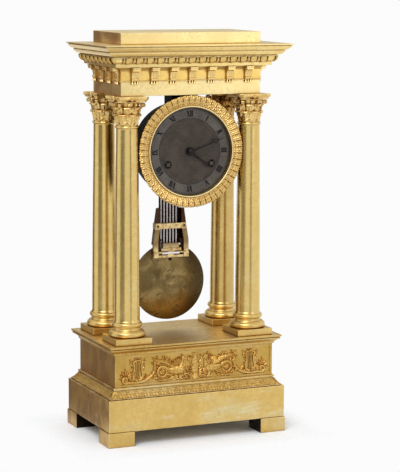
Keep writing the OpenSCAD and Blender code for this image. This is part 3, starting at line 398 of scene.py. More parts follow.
def bob_brass():
    """The bob's old brass: scratched and pitted, darker round the rim as painted shade, and orange at the
    foot.
    """
    f = Finish("old brass bob")
    middle = (BOB[0].z + BOB[1].z) / 2
    reach = BOB[1].x
    blotches = f.noise(24, 5.0, distortion=0.9)
    specks = f.noise(1.9, 3.0)
    tone = f.mix(f.steps(blotches, 0.34, 0.66), colour(0.15, 0.1, 0.035), colour(0.345, 0.245, 0.1))
    up = f.part_of_place(2) - BOB[0].z
    foot = 1 - f.steps(up + (blotches - 0.5) * 18, 0, 36)
    tone = f.mix(foot * 0.85, tone, colour(0.33, 0.155, 0.022))
    # Painted shade: darker towards the rim, away from a lit spot left of the middle.
    darkening = f.steps(f.radius_about(middle, -9) + (blotches - 0.5) * 22, reach * 0.58, reach * 1.08)
    tone = f.mix(darkening * 0.85, tone, colour(0.055, 0.035, 0.014))
    pits = f.steps(specks, 0.6, 0.7)
    for lean, least in ((38, 0.6), (-52, 0.62), (12, 0.64)):
        scratch = f.noise(5, 2.0, place=f.stretched(0.3, 1, 1.9, lean))
        pits = pits + f.steps(scratch, least, least + 0.06) * f.steps(blotches, 0.4, 0.58)
    tone = f.mix((pits * 0.6).held(), tone, colour(0.05, 0.032, 0.014))
    rough = 0.34 + (blotches - 0.5) * 0.25 + pits * 0.15
    height = blotches - pits * 0.3
    return f.done(base_color=tone, metallic=0.9, roughness=rough.held(), normal=f.bump(height, 0.05))


# Heights on the pendulum's frame: where its gold turns dull, and the foot and head of its cross plate
DULL_FROM, CROSS_FOOT, CROSS_HEAD = 220.0, 241.0, 248.4


def frame_gilding():
    """The pendulum frame's gold: bright at the foot, dull above, red-brown over the cross plate, and painted
    shade in its hollows.
    """
    f = Finish("frame gilding")
    patches = f.noise(7, 4.0, distortion=0.6)
    height = f.part_of_place(2)
    gold = f.mix(f.steps(patches, 0.35, 0.65), colour(0.48, 0.3, 0.11), colour(0.84, 0.65, 0.34))
    dull = f.steps(height + (patches - 0.5) * 8, DULL_FROM - 6, DULL_FROM + 6)
    dull = dull * (1 - f.steps(height, CROSS_FOOT - 0.4, CROSS_FOOT + 0.4))
    gold = f.mix(dull * 0.85, gold, colour(0.2, 0.135, 0.062))
    gold = f.mix(f.steps(height, CROSS_HEAD - 0.4, CROSS_HEAD + 0.4), gold, colour(0.06, 0.026, 0.012))
    shade = f.steps(1 - f.open_sky(4), 0.15, 0.85)
    gold = f.mix(shade * 0.85, gold, colour(0.1, 0.04, 0.012))
    gold = f.mix(f.sharp_edges(0.7) * 0.75, gold, colour(0.14, 0.06, 0.02))
    rough = 0.3 + (patches - 0.5) * 0.2
    return f.done(base_color=gold, metallic=0.95, roughness=rough, normal=f.bump(patches, 0.03))


def movement_brass(name, light, dark):
    """Brass of the movement, brushed, with old lacquer."""
    f = Finish(name)
    marks = f.noise(1.6, 3.0, place=f.stretched(0.1, 1, 1))
    patches = f.noise(20, 3.0)
    tone = f.mix(f.steps(patches, 0.35, 0.7), dark, light)
    return f.done(base_color=tone, metallic=1.0, roughness=0.26 + marks * 0.2, normal=f.bump(marks, 0.012))


def oak_board():
    """Plain wood of the board inside the base."""
    f = Finish("oak board")
    grain = f.noise(3, 4.0, place=f.stretched(0.06, 1, 1), distortion=0.7)
    tone = f.mix(f.steps(grain, 0.35, 0.7), colour(0.16, 0.08, 0.032), colour(0.34, 0.2, 0.09))
    return f.done(base_color=tone, roughness=0.65 + grain * 0.15, normal=f.bump(grain, 0.1))


PLAIN_GILT = gilding(
    "plain gilding", colour(0.78, 0.55, 0.19), colour(0.64, 0.43, 0.13), 0.3,
    hollow=0.75, smears=0.55, rubbed=0.34, left_shade=0.7, left_shade_blotch=0.6, edges=0.8,
)
# The feet's inner faces get painted shade.
FOOT_GILT = gilding(
    "gilding of the feet", colour(0.75, 0.525, 0.18), colour(0.6, 0.4, 0.12), 0.3,
    hollow=0.75, smears=0.5, left_shade=0.7, left_shade_blotch=0.6, edges=0.8,
    shaded_inside=(FEET[1].x - FOOT_W, FEET[1].y - FOOT_W),
)
PANEL_GILT = gilding(
    "gilding of the panel", colour(0.64, 0.42, 0.11), colour(0.49, 0.305, 0.07), 0.32,
    hollow_reach=6, hollow_tone=ORANGE_HOLLOW, left_shade=1.0, left_shade_blotch=0.4, edges=0.5,
)
RELIEF_GILT = gilding(
    "gilding of the relief", colour(0.76, 0.52, 0.165), colour(0.57, 0.35, 0.085), 0.33,
    hollow_tone=colour(0.42, 0.2, 0.04), chasing=0.6, darkening=0.85,
)
# Its sides are painted darker than its top, as painted shade.
STAND_GILT = gilding(
    "gilding of the stand", colour(0.85, 0.66, 0.32), colour(0.64, 0.43, 0.14), 0.36,
    hollow=1.0, hollow_reach=4, hollow_tone=RED_HOLLOW, painted_shade=0.05, stain=0.75, edges=0.12,
    sides=colour(0.62, 0.4, 0.1),
)
CHASED_GILT = gilding(
    "chased gilding", colour(0.85, 0.63, 0.26), colour(0.72, 0.5, 0.175), 0.3, chasing=0.4, darkening=0.3,
)
# A darker copy of the gilding, as painted shade: for the slope's leaves, against their reflection of the
# bright sky, and for the bed moulding under the cornice.
SHADED_GILT = gilding(
    "gilding painted in shade", colour(0.65, 0.44, 0.14), colour(0.48, 0.31, 0.085), 0.42, chasing=0.3,
)
LEAF_GILT = gilding(
    "gilding of the capitals", colour(0.94, 0.7, 0.29), colour(0.8, 0.56, 0.2), 0.32,
    hollow=0.85, hollow_tone=colour(0.42, 0.2, 0.045), painted_shade=0.5, painted_shade_reach=90, chasing=0.2, darkening=0.3,
)
# A darker copy for the back right capital, as painted shade of the drum and entablature.
SHADED_LEAF_GILT = gilding(
    "gilding of the capitals painted in shade", colour(0.56, 0.34, 0.1), colour(0.4, 0.22, 0.055), 0.38,
    painted_shade=0.9, painted_shade_reach=90,
)
EGG_GILT = gilding(
    "gilding of the eggs", colour(0.85, 0.61, 0.22), colour(0.7, 0.46, 0.13), 0.34,
    hollow=1.0, hollow_reach=5, hollow_tone=colour(0.16, 0.068, 0.014),
)
CORNICE_GILT = gilding(
    "gilding of the cornice", colour(0.96, 0.75, 0.32), colour(0.84, 0.62, 0.22), 0.27,
    hollow=0.6, left_shade=0.5, edges=0.4,
)
TURNED_GILT = gilding(
    "turned gilding", colour(0.79, 0.59, 0.225), colour(0.69, 0.485, 0.17), 0.18, hollow=0.7, streaks=0.25,
)
# A darker copy for the back right shaft, as painted shade of the drum and entablature.
SHADED_TURNED_GILT = gilding(
    "turned gilding painted in shade", colour(0.69, 0.5, 0.19), colour(0.56, 0.38, 0.13), 0.18,
    hollow=0.7, painted_shade=0.8, painted_shade_reach=60, streaks=0.2,
)
BASE_GILT = gilding(
    "gilding of the column bases", colour(0.78, 0.57, 0.21), colour(0.66, 0.45, 0.15), 0.3, hollow=0.8,
)
PALE_GILT = gilding(
    "pale gilding", colour(0.92, 0.75, 0.37), colour(0.82, 0.64, 0.29), 0.3,
    hollow=0.6, left_shade=1.0, edges=0.6,
)
FRIEZE_GILT = gilding(
    "gilding of the frieze", colour(0.92, 0.66, 0.22), colour(0.8, 0.53, 0.15), 0.32, hollow=0.8, left_shade=0.8,
)
BRACKET_GILT = gilding(
    "gilding of the brackets", colour(0.95, 0.72, 0.31), colour(0.84, 0.6, 0.22), 0.3, hollow=0.8,
)
FRAME_GILT = frame_gilding()
PATINA_AND_SHADE = dark_patina_and_shade()
DULL_DIAL = dulled_dial()
BLACK_WAX = black_wax()
BLUED = blued_steel()
STEEL = bright_steel("bright steel rods", colour(0.86, 0.83, 0.88), 0.45)
IRON = bright_steel("grey iron", colour(0.4, 0.39, 0.38), 1.0)
BROWN_RODS = old_bronze("brown rods", colour(0.03, 0.017, 0.011), colour(0.012, 0.008, 0.006))
RED_BROWN = old_bronze("red-brown ground", colour(0.06, 0.022, 0.01), colour(0.03, 0.012, 0.007))
DULL_SQUARE = old_bronze("dull winding squares", colour(0.14, 0.125, 0.105), colour(0.07, 0.06, 0.046))
OLD_BRASS = bob_brass()
BRASS = movement_brass("lacquered brass", colour(0.72, 0.52, 0.2), colour(0.5, 0.33, 0.11))
BELL_METAL = movement_brass("bell metal", colour(0.62, 0.53, 0.34), colour(0.46, 0.37, 0.2))
OAK = oak_board()
SLOT_FINISH = {
    GILT_SLOT: PLAIN_GILT, "dark_bronze": PATINA_AND_SHADE, "board": OAK, "steel": IRON, "blued_steel": BLUED,
    "dial_metal": DULL_DIAL, "movement_brass": BRASS, "bell_metal": BELL_METAL, "old_bronze": OLD_BRASS,
}


# Shapes
class Shape:
    """Points in millimetres and faces, gathered bit by bit into one piece."""

    def __init__(self):
        self.points = []
        self.faces = []

    def loft(self, loops, around=False):
        """Joins loops of equal length into a closed skin. around joins the last loop to the first."""
        first = len(self.points)
        size = len(loops[0])
        for loop in loops:
            self.points.extend(Vector(p) for p in loop)
        for i in range(len(loops) if around else len(loops) - 1):
            here = first + i * size
            there = first + (i + 1) % len(loops) * size
            for k in range(size):
                n = (k + 1) % size
                self.faces.append((here + k, here + n, there + n, there + k))
        if not around:
            last = first + (len(loops) - 1) * size
            self.faces.append(tuple(range(first + size - 1, first - 1, -1)))
            self.faces.append(tuple(range(last, last + size)))
        return self

    def take(self, *meshes):
        """Adds plain meshes as they are."""
        for mesh in meshes:
            first = len(self.points)
            self.points.extend(v.co / MM for v in mesh.vertices)
            self.faces.extend(tuple(first + i for i in p.vertices) for p in mesh.polygons)
        return self

    def add(self, *bits):
        """Adds other shapes, each welded and with its faces turned outwards."""
        return self.take(*[bit.mesh("bit") for bit in bits])

    def moved(self, place):
        """A copy in another place."""
        copy = Shape()
        copy.points = [place @ p for p in self.points]
        copy.faces = list(self.faces)
        return copy

    def mesh(self, name):
        """The shape as a mesh in metres, welded and with its faces turned outwards."""
        made = bpy.data.meshes.new(name)
        made.from_pydata([p * MM for p in self.points], [], self.faces)
        work = bmesh.new()
        work.from_mesh(made)
        bmesh.ops.remove_doubles(work, verts=work.verts, dist=WELD)
        bmesh.ops.recalc_face_normals(work, faces=work.faces)
        work.to_mesh(made)
        work.free()
        return made


def put(name, data):
    """A new object in the scene."""
    obj = bpy.data.objects.new(name, data)
    bpy.context.scene.collection.objects.link(obj)
    return obj


def piece(name, shape, finish, *nodes, slot=GILT_SLOT, body=BODY, sharp=38):
    """A finished piece, which rides on a body and stands for the nodes. sharp is in degrees."""
    mesh = shape.mesh(name) if isinstance(shape, Shape) else shape
    obj = put(name, mesh)
    mesh.materials.clear()
    mesh.materials.append(finish)
    mesh.polygons.foreach_set("use_smooth", [True] * len(mesh.polygons))
    mesh.set_sharp_from_angle(angle=math.radians(sharp))
    even = obj.modifiers.new("even shading", "WEIGHTED_NORMAL")
    even.keep_sharp = True
    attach(obj, body)
    if nodes:
        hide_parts(*nodes)


def shares(n):
    """Even shares of a way in n steps, from 0 to 1."""
    return [i / n for i in range(n + 1)]


def shifted(profile, by):
    """A profile moved along its axis."""
    return [(a, b + by) for a, b in profile]


def arc(centre_p, centre_q, r, start, end, n):
    """Points on an arc, angles in degrees."""
    turns = [math.radians(start + (end - start) * t) for t in shares(n)]
    return [(centre_p + r * math.cos(t), centre_q + r * math.sin(t)) for t in turns]


def soft_corners(line, r, n=3):
    """An open line with its corners cut to small curves."""
    points = [Vector(p) for p in line]
    out = [points[0]]
    for before, here, after in zip(points, points[1:], points[2:]):
        a, b = before - here, after - here
        reach = min(r, a.length * 0.45, b.length * 0.45)
        start, end = here + a.normalized() * reach, here + b.normalized() * reach
        out += [start * (1 - t) ** 2 + here * 2 * t * (1 - t) + end * t ** 2 for t in shares(n)]
    return [tuple(p) for p in out + [points[-1]]]


# Radius of the corners of blocks and mouldings, seen from above
CORNER_R = 0.6


def level_loop(x0, x1, y0, y1, z):
    """A level rectangle with softened corners."""
    r = CORNER_R
    places = ((x1 - r, y1 - r, 0), (x0 + r, y1 - r, 90), (x0 + r, y0 + r, 180), (x1 - r, y0 + r, 270))
    return [(x, y, z) for cx, cy, start in places for x, y in arc(cx, cy, r, start, start + 90, 3)]


def moulded(core, profile, edge, back=1.0):
    """A block whose sides carry a moulding: profile holds (overhang, height), back scales it at the back."""
    low, high = core
    loops = [
        level_loop(low.x - out, high.x + out, low.y - out, high.y + out * back, z)
        for out, z in soft_corners(profile, edge)
    ]
    return Shape().loft(loops)


def block(low, high, edge):
    """A plain block with softened edges."""
    low, high = Vector(low), Vector(high)
    profile = [(-edge * 4, low.z), (0, low.z), (0, high.z), (-edge * 4, high.z)]
    return moulded((low, high), profile, edge)


def circle(r, n):
    """Points of a circle about the origin."""
    turns = [2 * math.pi * k / n for k in range(n)]
    return [(r * math.cos(t), r * math.sin(t)) for t in turns]


def turned(profile, at=(0, 0), n=96):
    """A piece turned about an upright axis: profile holds (radius, height)."""
    return Shape().loft([[(at[0] + a, at[1] + b, z) for a, b in circle(r, n)] for r, z in profile])


def faced(profile, at=(0, 0), n=128, closed=True):
    """A piece turned about an axis along Y: profile holds (radius, depth), at is (x, z)."""
    loops = [[(at[0] + a, y, at[1] + b) for a, b in circle(r, n)] for r, y in profile]
    return Shape().loft(loops, around=closed)


def straight(across, out, up):
    """A leaf's place on a straight side."""
    return (across, -out, up)


def about_z(across, out, up):
    """A leaf's place round an upright axis."""
    turn = across / max(out, 1.0)
    return (out * math.sin(turn), -out * math.cos(turn), up)


# Share of a leaf's width that its rear has
REAR_W = 0.96


def sections(path):
    """For each point of a path: its share of the way, the point and the way its face looks."""
    last = len(path) - 1
    for i, point in enumerate(path):
        along = (Vector(path[min(i + 1, last)]) - Vector(path[max(i - 1, 0)])).normalized()
        yield i / last, point, Vector((along.y, -along.x))


def leaf(path, half_width, relief, back, lay=straight, across=9):
    """A leaf along a path of (out, up), with half_width(v), relief(u, v) and its thickness back."""
    loops = []
    spread = [2 * t - 1 for t in shares(across - 1)]
    for v, (out, up), face in sections(path):
        w = half_width(v)
        front = [(u * w, out + face.x * relief(u, v), up + face.y * relief(u, v)) for u in spread]
        rear = [(u * w * REAR_W, out - face.x * back, up - face.y * back) for u in reversed(spread)]
        loops.append([lay(*p) for p in front + rear])
    return Shape().loft(loops)


def tube(path, radii, n=10):
    """A round stem through 3-D points, with a radius at each."""
    points = [Vector(p) for p in path]
    loops = []
    side = None
    for i, p in enumerate(points):
        along = (points[min(i + 1, len(points) - 1)] - points[max(i - 1, 0)]).normalized()
        if side is None:
            side = along.orthogonal().normalized()
        side = (side - along * side.dot(along)).normalized()
        over = along.cross(side)
        loops.append([p + side * a + over * b for a, b in circle(radii[i], n)])
    return Shape().loft(loops)


def smooth_line(points, steps=6):
    """A smooth curve through points of any size."""
    ends = [points[0], *points, points[-1]]
    def between(p, q, r, s, t):
        bend = (2 * p - 5 * q + 4 * r - s) * t * t + (3 * q - p - 3 * r + s) * t ** 3
        return 0.5 * (2 * q + (r - p) * t + bend)
    out = []
    for near in zip(ends, ends[1:], ends[2:], ends[3:]):
        out += [tuple(between(*four, i / steps) for four in zip(*near)) for i in range(steps)]
    return out + [tuple(points[-1])]


# Geometry Nodes trees for what repeats
UPRIGHT = (0, 0, 1)
FACING = (0, 1, 0)


def tree_with(name, sockets):
    """A Geometry Nodes tree with these inputs, and its Sheet and wires."""
    tree = bpy.data.node_groups.new(name, "GeometryNodeTree")
    for socket, kind in sockets.items():
        tree.interface.new_socket(socket, in_out="INPUT", socket_type="NodeSocket" + kind)
    tree.interface.new_socket("Geometry", in_out="OUTPUT", socket_type="NodeSocketGeometry")
    sheet = Sheet(tree)
    given = tree.nodes.new("NodeGroupInput")
    return tree, sheet, {socket: Wire(sheet, given.outputs[socket]) for socket in sockets}


def end_tree(sheet, geometry, finish):
    """Realises the copies, gives them their material and sends them out."""
    real = sheet.node("GeometryNodeRealizeInstances", {}, {"Geometry": geometry})
    done = sheet.node("GeometryNodeSetMaterial", {}, {"Geometry": real, "Material": finish})
    out = sheet.tree.nodes.new("NodeGroupOutput")
    sheet.tree.links.new(done.socket, out.inputs[0])


def copies_on(sheet, points, unit, axis, angle):
    """Copies of a unit on points, each turned about an axis."""
    turn = sheet.node("FunctionNodeAxisAngleToRotation", {}, {"Axis": axis, "Angle": angle})
    shape = sheet.node("GeometryNodeObjectInfo", {}, {"Object": unit}, "Geometry")
    inputs = {"Points": points, "Instance": shape, "Rotation": turn}
    return sheet.node("GeometryNodeInstanceOnPoints", {}, inputs)


def row_tree():
    """Copies of a unit in a straight row, each turned about the upright axis."""
    tree, sheet, given = tree_with("row of copies", {
        "Unit": "Object", "Count": "Int", "First": "Vector", "Step": "Vector", "Turn": "Float",
        "Finish": "Material",
    })
    line = sheet.node(
        "GeometryNodeMeshLine", {"mode": "OFFSET"},
        {"Count": given["Count"], "Start Location": given["First"], "Offset": given["Step"]},
    )
    copies = copies_on(sheet, line, given["Unit"], UPRIGHT, given["Turn"])
    end_tree(sheet, copies, given["Finish"])
    return tree


def ring_tree():
    """Copies of a unit about an axis, which then goes to its place."""
    tree, sheet, given = tree_with("ring of copies", {
        "Unit": "Object", "Count": "Int", "Axis": "Vector", "Start": "Float", "Place": "Vector",
        "Finish": "Material",
    })
    points = sheet.node("GeometryNodePoints", {}, {"Count": given["Count"]})
    index = sheet.node("GeometryNodeInputIndex")
    angle = given["Start"] + index * (2 * math.pi) / given["Count"]
    copies = copies_on(sheet, points, given["Unit"], given["Axis"], angle)
    placed = sheet.node("GeometryNodeTransform", {}, {"Geometry": copies, "Translation": given["Place"]})
    end_tree(sheet, placed, given["Finish"])
    return tree


ROW = row_tree()
RING = ring_tree()


def grow(tree, unit, **values):
    """Runs a tree on a unit shape and gives back a plain mesh."""
    source = put("unit", unit.mesh("unit"))
    holder = put("holder", bpy.data.meshes.new("holder"))
    values.update(Unit=source, Finish=CHASED_GILT)
    modifier = holder.modifiers.new("copies", "NODES")
    modifier.node_group = tree
    for item in tree.interface.items_tree:
        if item.in_out == "INPUT":
            modifier[item.identifier] = values[item.name]
    bpy.context.view_layer.update()
    depsgraph = bpy.context.evaluated_depsgraph_get()
    made = bpy.data.meshes.new_from_object(holder.evaluated_get(depsgraph))
    holder.modifiers.remove(modifier)
    for obj in (holder, source):
        bpy.data.objects.remove(obj)
    return made


def row(unit, count, first, step, turn=0.0):
    """Copies in a row. Lengths are in millimetres and turn is in degrees."""
    first, step = Vector(first) * MM, Vector(step) * MM
    return grow(ROW, unit, Count=count, First=first, Step=step, Turn=math.radians(turn))


def ring(unit, count, axis, start=0.0, place=(0, 0, 0)):
    """Copies in a ring. Its place is in millimetres and start is in degrees."""
    start, place = math.radians(start), Vector(place) * MM
    return grow(RING, unit, Count=count, Axis=Vector(axis), Start=start, Place=place)


# The base
def feet():
    shape = Shape()
    low, high = FEET
    for x in (low.x, high.x - FOOT_W):
        for y in (low.y, high.y - FOOT_W):
            shape.add(block((x, y, low.z), (x + FOOT_W, y + FOOT_W, high.z), 0.7))
    piece("feet_blocks", shape, FOOT_GILT, "feet")


def plinth():
    piece("plinth_band", block(*PLINTH, 0.8), PLAIN_GILT, "plinth")


SLOPE_STEP = 10.4
SLOPE_OUT = 9.0


def slope_path():
    """The hollow slope between the plinth and the relief box, from its lower edge up."""
    z = PLINTH[1].z + 1.4
    rise = BOX[0].z - PLINTH[1].z - 5.0
    return [(SLOPE_OUT - 1.0 - (SLOPE_OUT - 2.6) * t ** 0.8, z + rise * t) for t in shares(18)]


def curled_leaf(path, step, height):
    """One unit of a low leaf band: a leaf whose tip curls over near the top, with folds below it."""
    def relief(u, v):
        tip_v = 0.7 - 0.12 * u
        tip = math.exp(-(((v - tip_v) / 0.09) ** 2) - (u / 0.45) ** 2)
        under = math.exp(-(((v - tip_v + 0.17) / 0.08) ** 2) - (u / 0.5) ** 2)
        fold = math.cos(2 * math.pi * (1.5 * u + 0.5 * v)) * (1 - v)
        low = math.exp(-(((v - 0.26 - 0.1 * u) / 0.1) ** 2) - ((abs(u) - 0.6) / 0.3) ** 2)
        return height * (0.35 + 0.9 * tip - 0.6 * under + 0.55 * low + 0.22 * fold)
    return leaf(path, lambda v: step / 2, relief, 0.8, across=21)


def egg_unit(path, step, height):
    """One unit of egg and dart: an egg that narrows downwards, with half a split dart at each side."""
    def relief(u, v):
        edge = 0.5 * math.sqrt(1 - (max(0.0, 0.75 - v) / 0.84) ** 2)
        a = abs(u)
        if a < edge:
            return height * (0.2 + 0.8 * math.sqrt(1 - (a / edge) ** 2))
        rib = (a - edge) / (1 - edge)
        swell = max(0.0, 1 - ((rib - 1.0) / 0.36) ** 2)
        return height * (0.3 * swell - 1.1 * (1 - swell))
    return leaf(path, lambda v: step / 2, relief, 1.6, across=41)


def leaf_band(name, core, unit, corner, step, over, sides, finish):
    """A row of units on each of the sides, and a narrow unit on each mitre between them."""
    low, high = core
    mid_y = (low.y + high.y) / 2
    runs = {
        "front": (high.x - low.x, (0, low.y, 0), (1, 0, 0), 0),
        "back": (high.x - low.x, (0, high.y, 0), (-1, 0, 0), 180),
        "left": (high.y - low.y, (low.x, mid_y, 0), (0, -1, 0), -90),
        "right": (high.y - low.y, (high.x, mid_y, 0), (0, 1, 0), 90),
    }
    shape = Shape()
    for side in sides:
        length, middle, way, turn = runs[side]
        count = int((length + over) // step)
        first = Vector(middle) - Vector(way) * step * (count - 1) / 2
        shape.take(row(unit, count, first, Vector(way) * step, turn))
    mitres = [(low.x, low.y, -45), (high.x, low.y, 45)]
    if "back" in sides:
        mitres += [(low.x, high.y, -135), (high.x, high.y, 135)]
    for x, y, turn in mitres:
        place = Matrix.Translation((x, y, 0)) @ Matrix.Rotation(math.radians(turn), 4, "Z")
        shape.add(corner.moved(place))
    piece(name, shape, finish)


# How much further a mitre stands out than a side, a little under the root of 2
MITRE_REACH = 1.37


def mitre_leaf(path, width, height):
    """A narrow smooth leaf for a mitre, whose path stands out further."""
    slant = [(out * MITRE_REACH, up) for out, up in path]

    def half_width(v):
        return width / 2 * (0.35 + 0.65 * v)

    def relief(u, v):
        return height * (1 - u * u)
    return leaf(slant, half_width, relief, 1.2)


# Height of the dark joint over the plinth
JOINT = 0.5


def plinth_moulding():
    path = slope_path()
    foot = [(-6, 0), (SLOPE_OUT - 1.2, 0), (SLOPE_OUT - 1.2, JOINT), (SLOPE_OUT, JOINT), (SLOPE_OUT, 1.5)]
    slope = [(out - 0.3, up) for out, up in path]
    ledge = [(0.9, -3.4), (0.9, -2.7), (2.2, -2.4), (2.2, -0.4), (1.4, -0.2), (1.4, 0), (-6, 0)]
    profile = shifted(foot, PLINTH[1].z) + slope + shifted(ledge, BOX[0].z)
    piece("slope_moulding", moulded(BOX, profile, 0.2), PLAIN_GILT, "plinth_moulding")
    sides = ("front", "back", "left", "right")
    unit = curled_leaf(path, SLOPE_STEP, 0.75)
    # The slope's leaves get the darker copy of the gilding, as painted shade.
    leaf_band("slope_leaves", BOX, unit, mitre_leaf(path, 4, 0.4), SLOPE_STEP, 6, sides, SHADED_GILT)


# Angles between faces: flatter ones are merged, sharper ones are eased
FLAT = math.radians(0.5)
CREASE = math.radians(30)


def softened(name, node, width_mm, finish, slot=GILT_SLOT, body=BODY):
    """A CAD node's shape with its edges eased, in place of the node."""
    mesh = frame["nodes"][node].data.copy()
    mesh.name = name
    work = bmesh.new()
    work.from_mesh(mesh)
    bmesh.ops.remove_doubles(work, verts=work.verts, dist=WELD)
    bmesh.ops.dissolve_limit(work, angle_limit=FLAT, verts=work.verts, edges=work.edges)
    edges = [e for e in work.edges if len(e.link_faces) == 2 and e.calc_face_angle(0) > CREASE]
    bmesh.ops.bevel(
        work, geom=edges, offset=width_mm * MM, segments=2, profile=0.5, affect="EDGES", clamp_overlap=True,
    )
    work.to_mesh(mesh)
    work.free()
    piece(name, mesh, finish, node, slot=slot, body=body)


def relief_box():
    softened("relief_box_walls", "relief_box", 0.35, PANEL_GILT)


def base_top():
    low, high = STAND
    core = (Vector((BOX[0].x, BOX[0].y, low.z)), Vector((BOX[1].x, BOX[1].y, high.z)))
    reach = BOX[0].x - low.x
    hollow = [(-8, 0), (0.3, 0), (0.3, 0.7), (1.5, 1.0), (1.6, 2.0)]
    hollow += [(1.8 + 4.6 * t ** 1.7, 2.3 + 4.2 * t) for t in shares(8)]
    lip = arc(reach - 2.2, -3.9, 1.2, -60, 75, 6) + [(reach - 1.9, -2.6), (reach - 1.9, -2.1)]
    lip += [(reach, -2.0), (reach, 0), (-8, 0)]
    profile = shifted(hollow, low.z) + shifted(lip, high.z)
    piece("stand_top", moulded(core, profile, 0.25), STAND_GILT, "base_top")


# The relief on the front of the base
PANEL_Y = BOX[0].y + PANEL_SINK
PANEL_Z = (BOX[0].z + BOX[1].z) / 2


def on_panel(x, z, lift=0.0):
    """A place on the panel, from its middle."""
    return (x, PANEL_Y - lift, PANEL_Z + z)


def vine(points, thick, thin, lift=0.35):
    """A tapering stem that lies on the panel."""
    line = smooth_line(points)
    radii = [thick + (thin - thick) * t for t in shares(len(line) - 1)]
    return tube([on_panel(x, z, lift) for x, z in line], radii)


def spray(x, z, turn, length, width, lift=1.0):
    """A pointed leaf that lies on the panel and swells in its middle."""
    def half_width(v):
        return width / 2 * max(0.06, math.sin(math.pi * min(0.99, 0.08 + 0.92 * v)) ** 0.8)

    def relief(u, v):
        return lift * (0.35 + 0.65 * math.sin(math.pi * v)) * (1 - u * u) + 0.35 * math.exp(-((u / 0.2) ** 2))
    path = [(0.2, length * t) for t in shares(7)]
    lean = Matrix.Rotation(math.radians(90 - turn), 4, "Y")
    return leaf(path, half_width, relief, 0.8, across=7).moved(Matrix.Translation(on_panel(x, z)) @ lean)


def spiral(cx, cz, start_r, end_r, start, turns, n=26, ease=0.85):
    """Points of a scroll, counted anticlockwise for positive turns."""
    out = []
    for t in shares(n):
        r = start_r + (end_r - start_r) * t ** ease
        a = math.radians(start + 360 * turns * t)
        out.append((cx + r * math.cos(a), cz + r * math.sin(a)))
    return out


# Share of its depth that a pressed limb keeps
PRESSED = 0.6


def low_relief(shape):
    """Presses a shape towards the panel."""
    press = Matrix.Diagonal((1, PRESSED, 1, 1))
    return shape.moved(Matrix.Translation((0, PANEL_Y, 0)) @ press @ Matrix.Translation((0, -PANEL_Y, 0)))


def limb(points, radii, lift=0.3):
    """A round limb of changing thickness through points on the panel."""
    line = smooth_line([(x, z, r) for (x, z), r in zip(points, radii)], 5)
    return low_relief(tube([on_panel(x, z, lift) for x, z, r in line], [r for x, z, r in line], n=14))


def berry(x, z, r):
    dome = [(AXIS, -1.5), (r * 0.5, -1.4), (r * 0.87, -0.9), (r, 0), (r, 0.4), (AXIS, 0.4)]
    return faced(shifted(dome, PANEL_Y), (x, PANEL_Z + z), n=14, closed=False)


# x, height, turn, length and width of the beast's tufts of hair
TUFTS = (
    (15.2, 4.6, -60, 4.2, 1.6), (16.6, 2.0, -52, 4.4, 1.7), (14.4, 1.6, -96, 4.0, 1.5),
    (19.6, -1.4, -30, 4.4, 1.6), (18.4, -4.4, -70, 4.4, 1.7), (23.2, -2.2, -20, 4.6, 1.6),
    (22.0, -5.4, -84, 4.2, 1.6), (27.0, -3.0, -14, 4.4, 1.5), (14.6, 8.0, -84, 3.6, 1.4),
    (31.0, -3.0, -4, 4.0, 1.3),
)


def griffin():
    """The winged beast at the right of the urn, whose tail runs into the scroll."""
    back = [(15.0, 9.4), (14.8, 5.4), (15.8, 0.8), (18.2, -3.2), (23.2, -3.8), (28.5, -3.6)]
    bits = [
        limb(back + [(33, -3.0), (36, -2.4)], [2.4, 3.0, 4.4, 5.9, 5.8, 4.6, 3.0, 1.8]),
        limb([(15.8, 9.2), (14.6, 11.2), (12.6, 10.2), (10.6, 8.2)], [2.2, 2.3, 1.6, 0.6], lift=0.9),
        limb([(15.6, -2.6), (13.4, -4.6), (13.2, -8.0), (11.2, -8.8)], [2.2, 1.9, 1.4, 1.0], lift=0.8),
        limb([(21.0, -6.4), (18.8, -9.6), (18.4, -13.2), (15.4, -14.8)], [3.0, 2.5, 1.7, 1.2], lift=0.8),
        limb([(25.4, -6.2), (23.6, -10.2), (22.4, -13.6), (19.6, -14.8)], [2.7, 2.2, 1.5, 1.1]),
        spray(16.2, 12.2, 78, 4.4, 1.9), spray(17.4, 10.2, 40, 3.6, 1.6), spray(17.9, 7.6, 22, 3.6, 1.6),
        limb([(17.6, 0.4), (19.0, 4.4), (21.0, 8.0)], [1.9, 2.0, 1.0], lift=1.1),
    ]
    for k in range(7):
        feather = (18.4 + 0.8 * k, 3.0 - 0.6 * k, 84 - 10 * k, 10.4 + 0.25 * k, 3.9)
        bits.append(spray(*feather, lift=2.0 - 0.12 * k))
    return Shape().add(*bits, *[spray(*tuft, lift=3.4) for tuft in TUFTS])


def off_panel(shape):
    """Moves a shape from the middle of the panel to the origin, where a ring starts."""
    return shape.moved(Matrix.Translation((0, -PANEL_Y, -PANEL_Z)))


def petals(r, width, count, place):
    """Petals of length r about a place, all in the front plane."""
    return ring(off_panel(spray(0, 0, 90, r, width, lift=0.9)), count, FACING, place=place)


def rosette(x, z, r):
    """A round flower on the panel."""
    return Shape().take(petals(r, r * 0.85, 8, on_panel(x, z))).add(berry(x, z, r * 0.34))


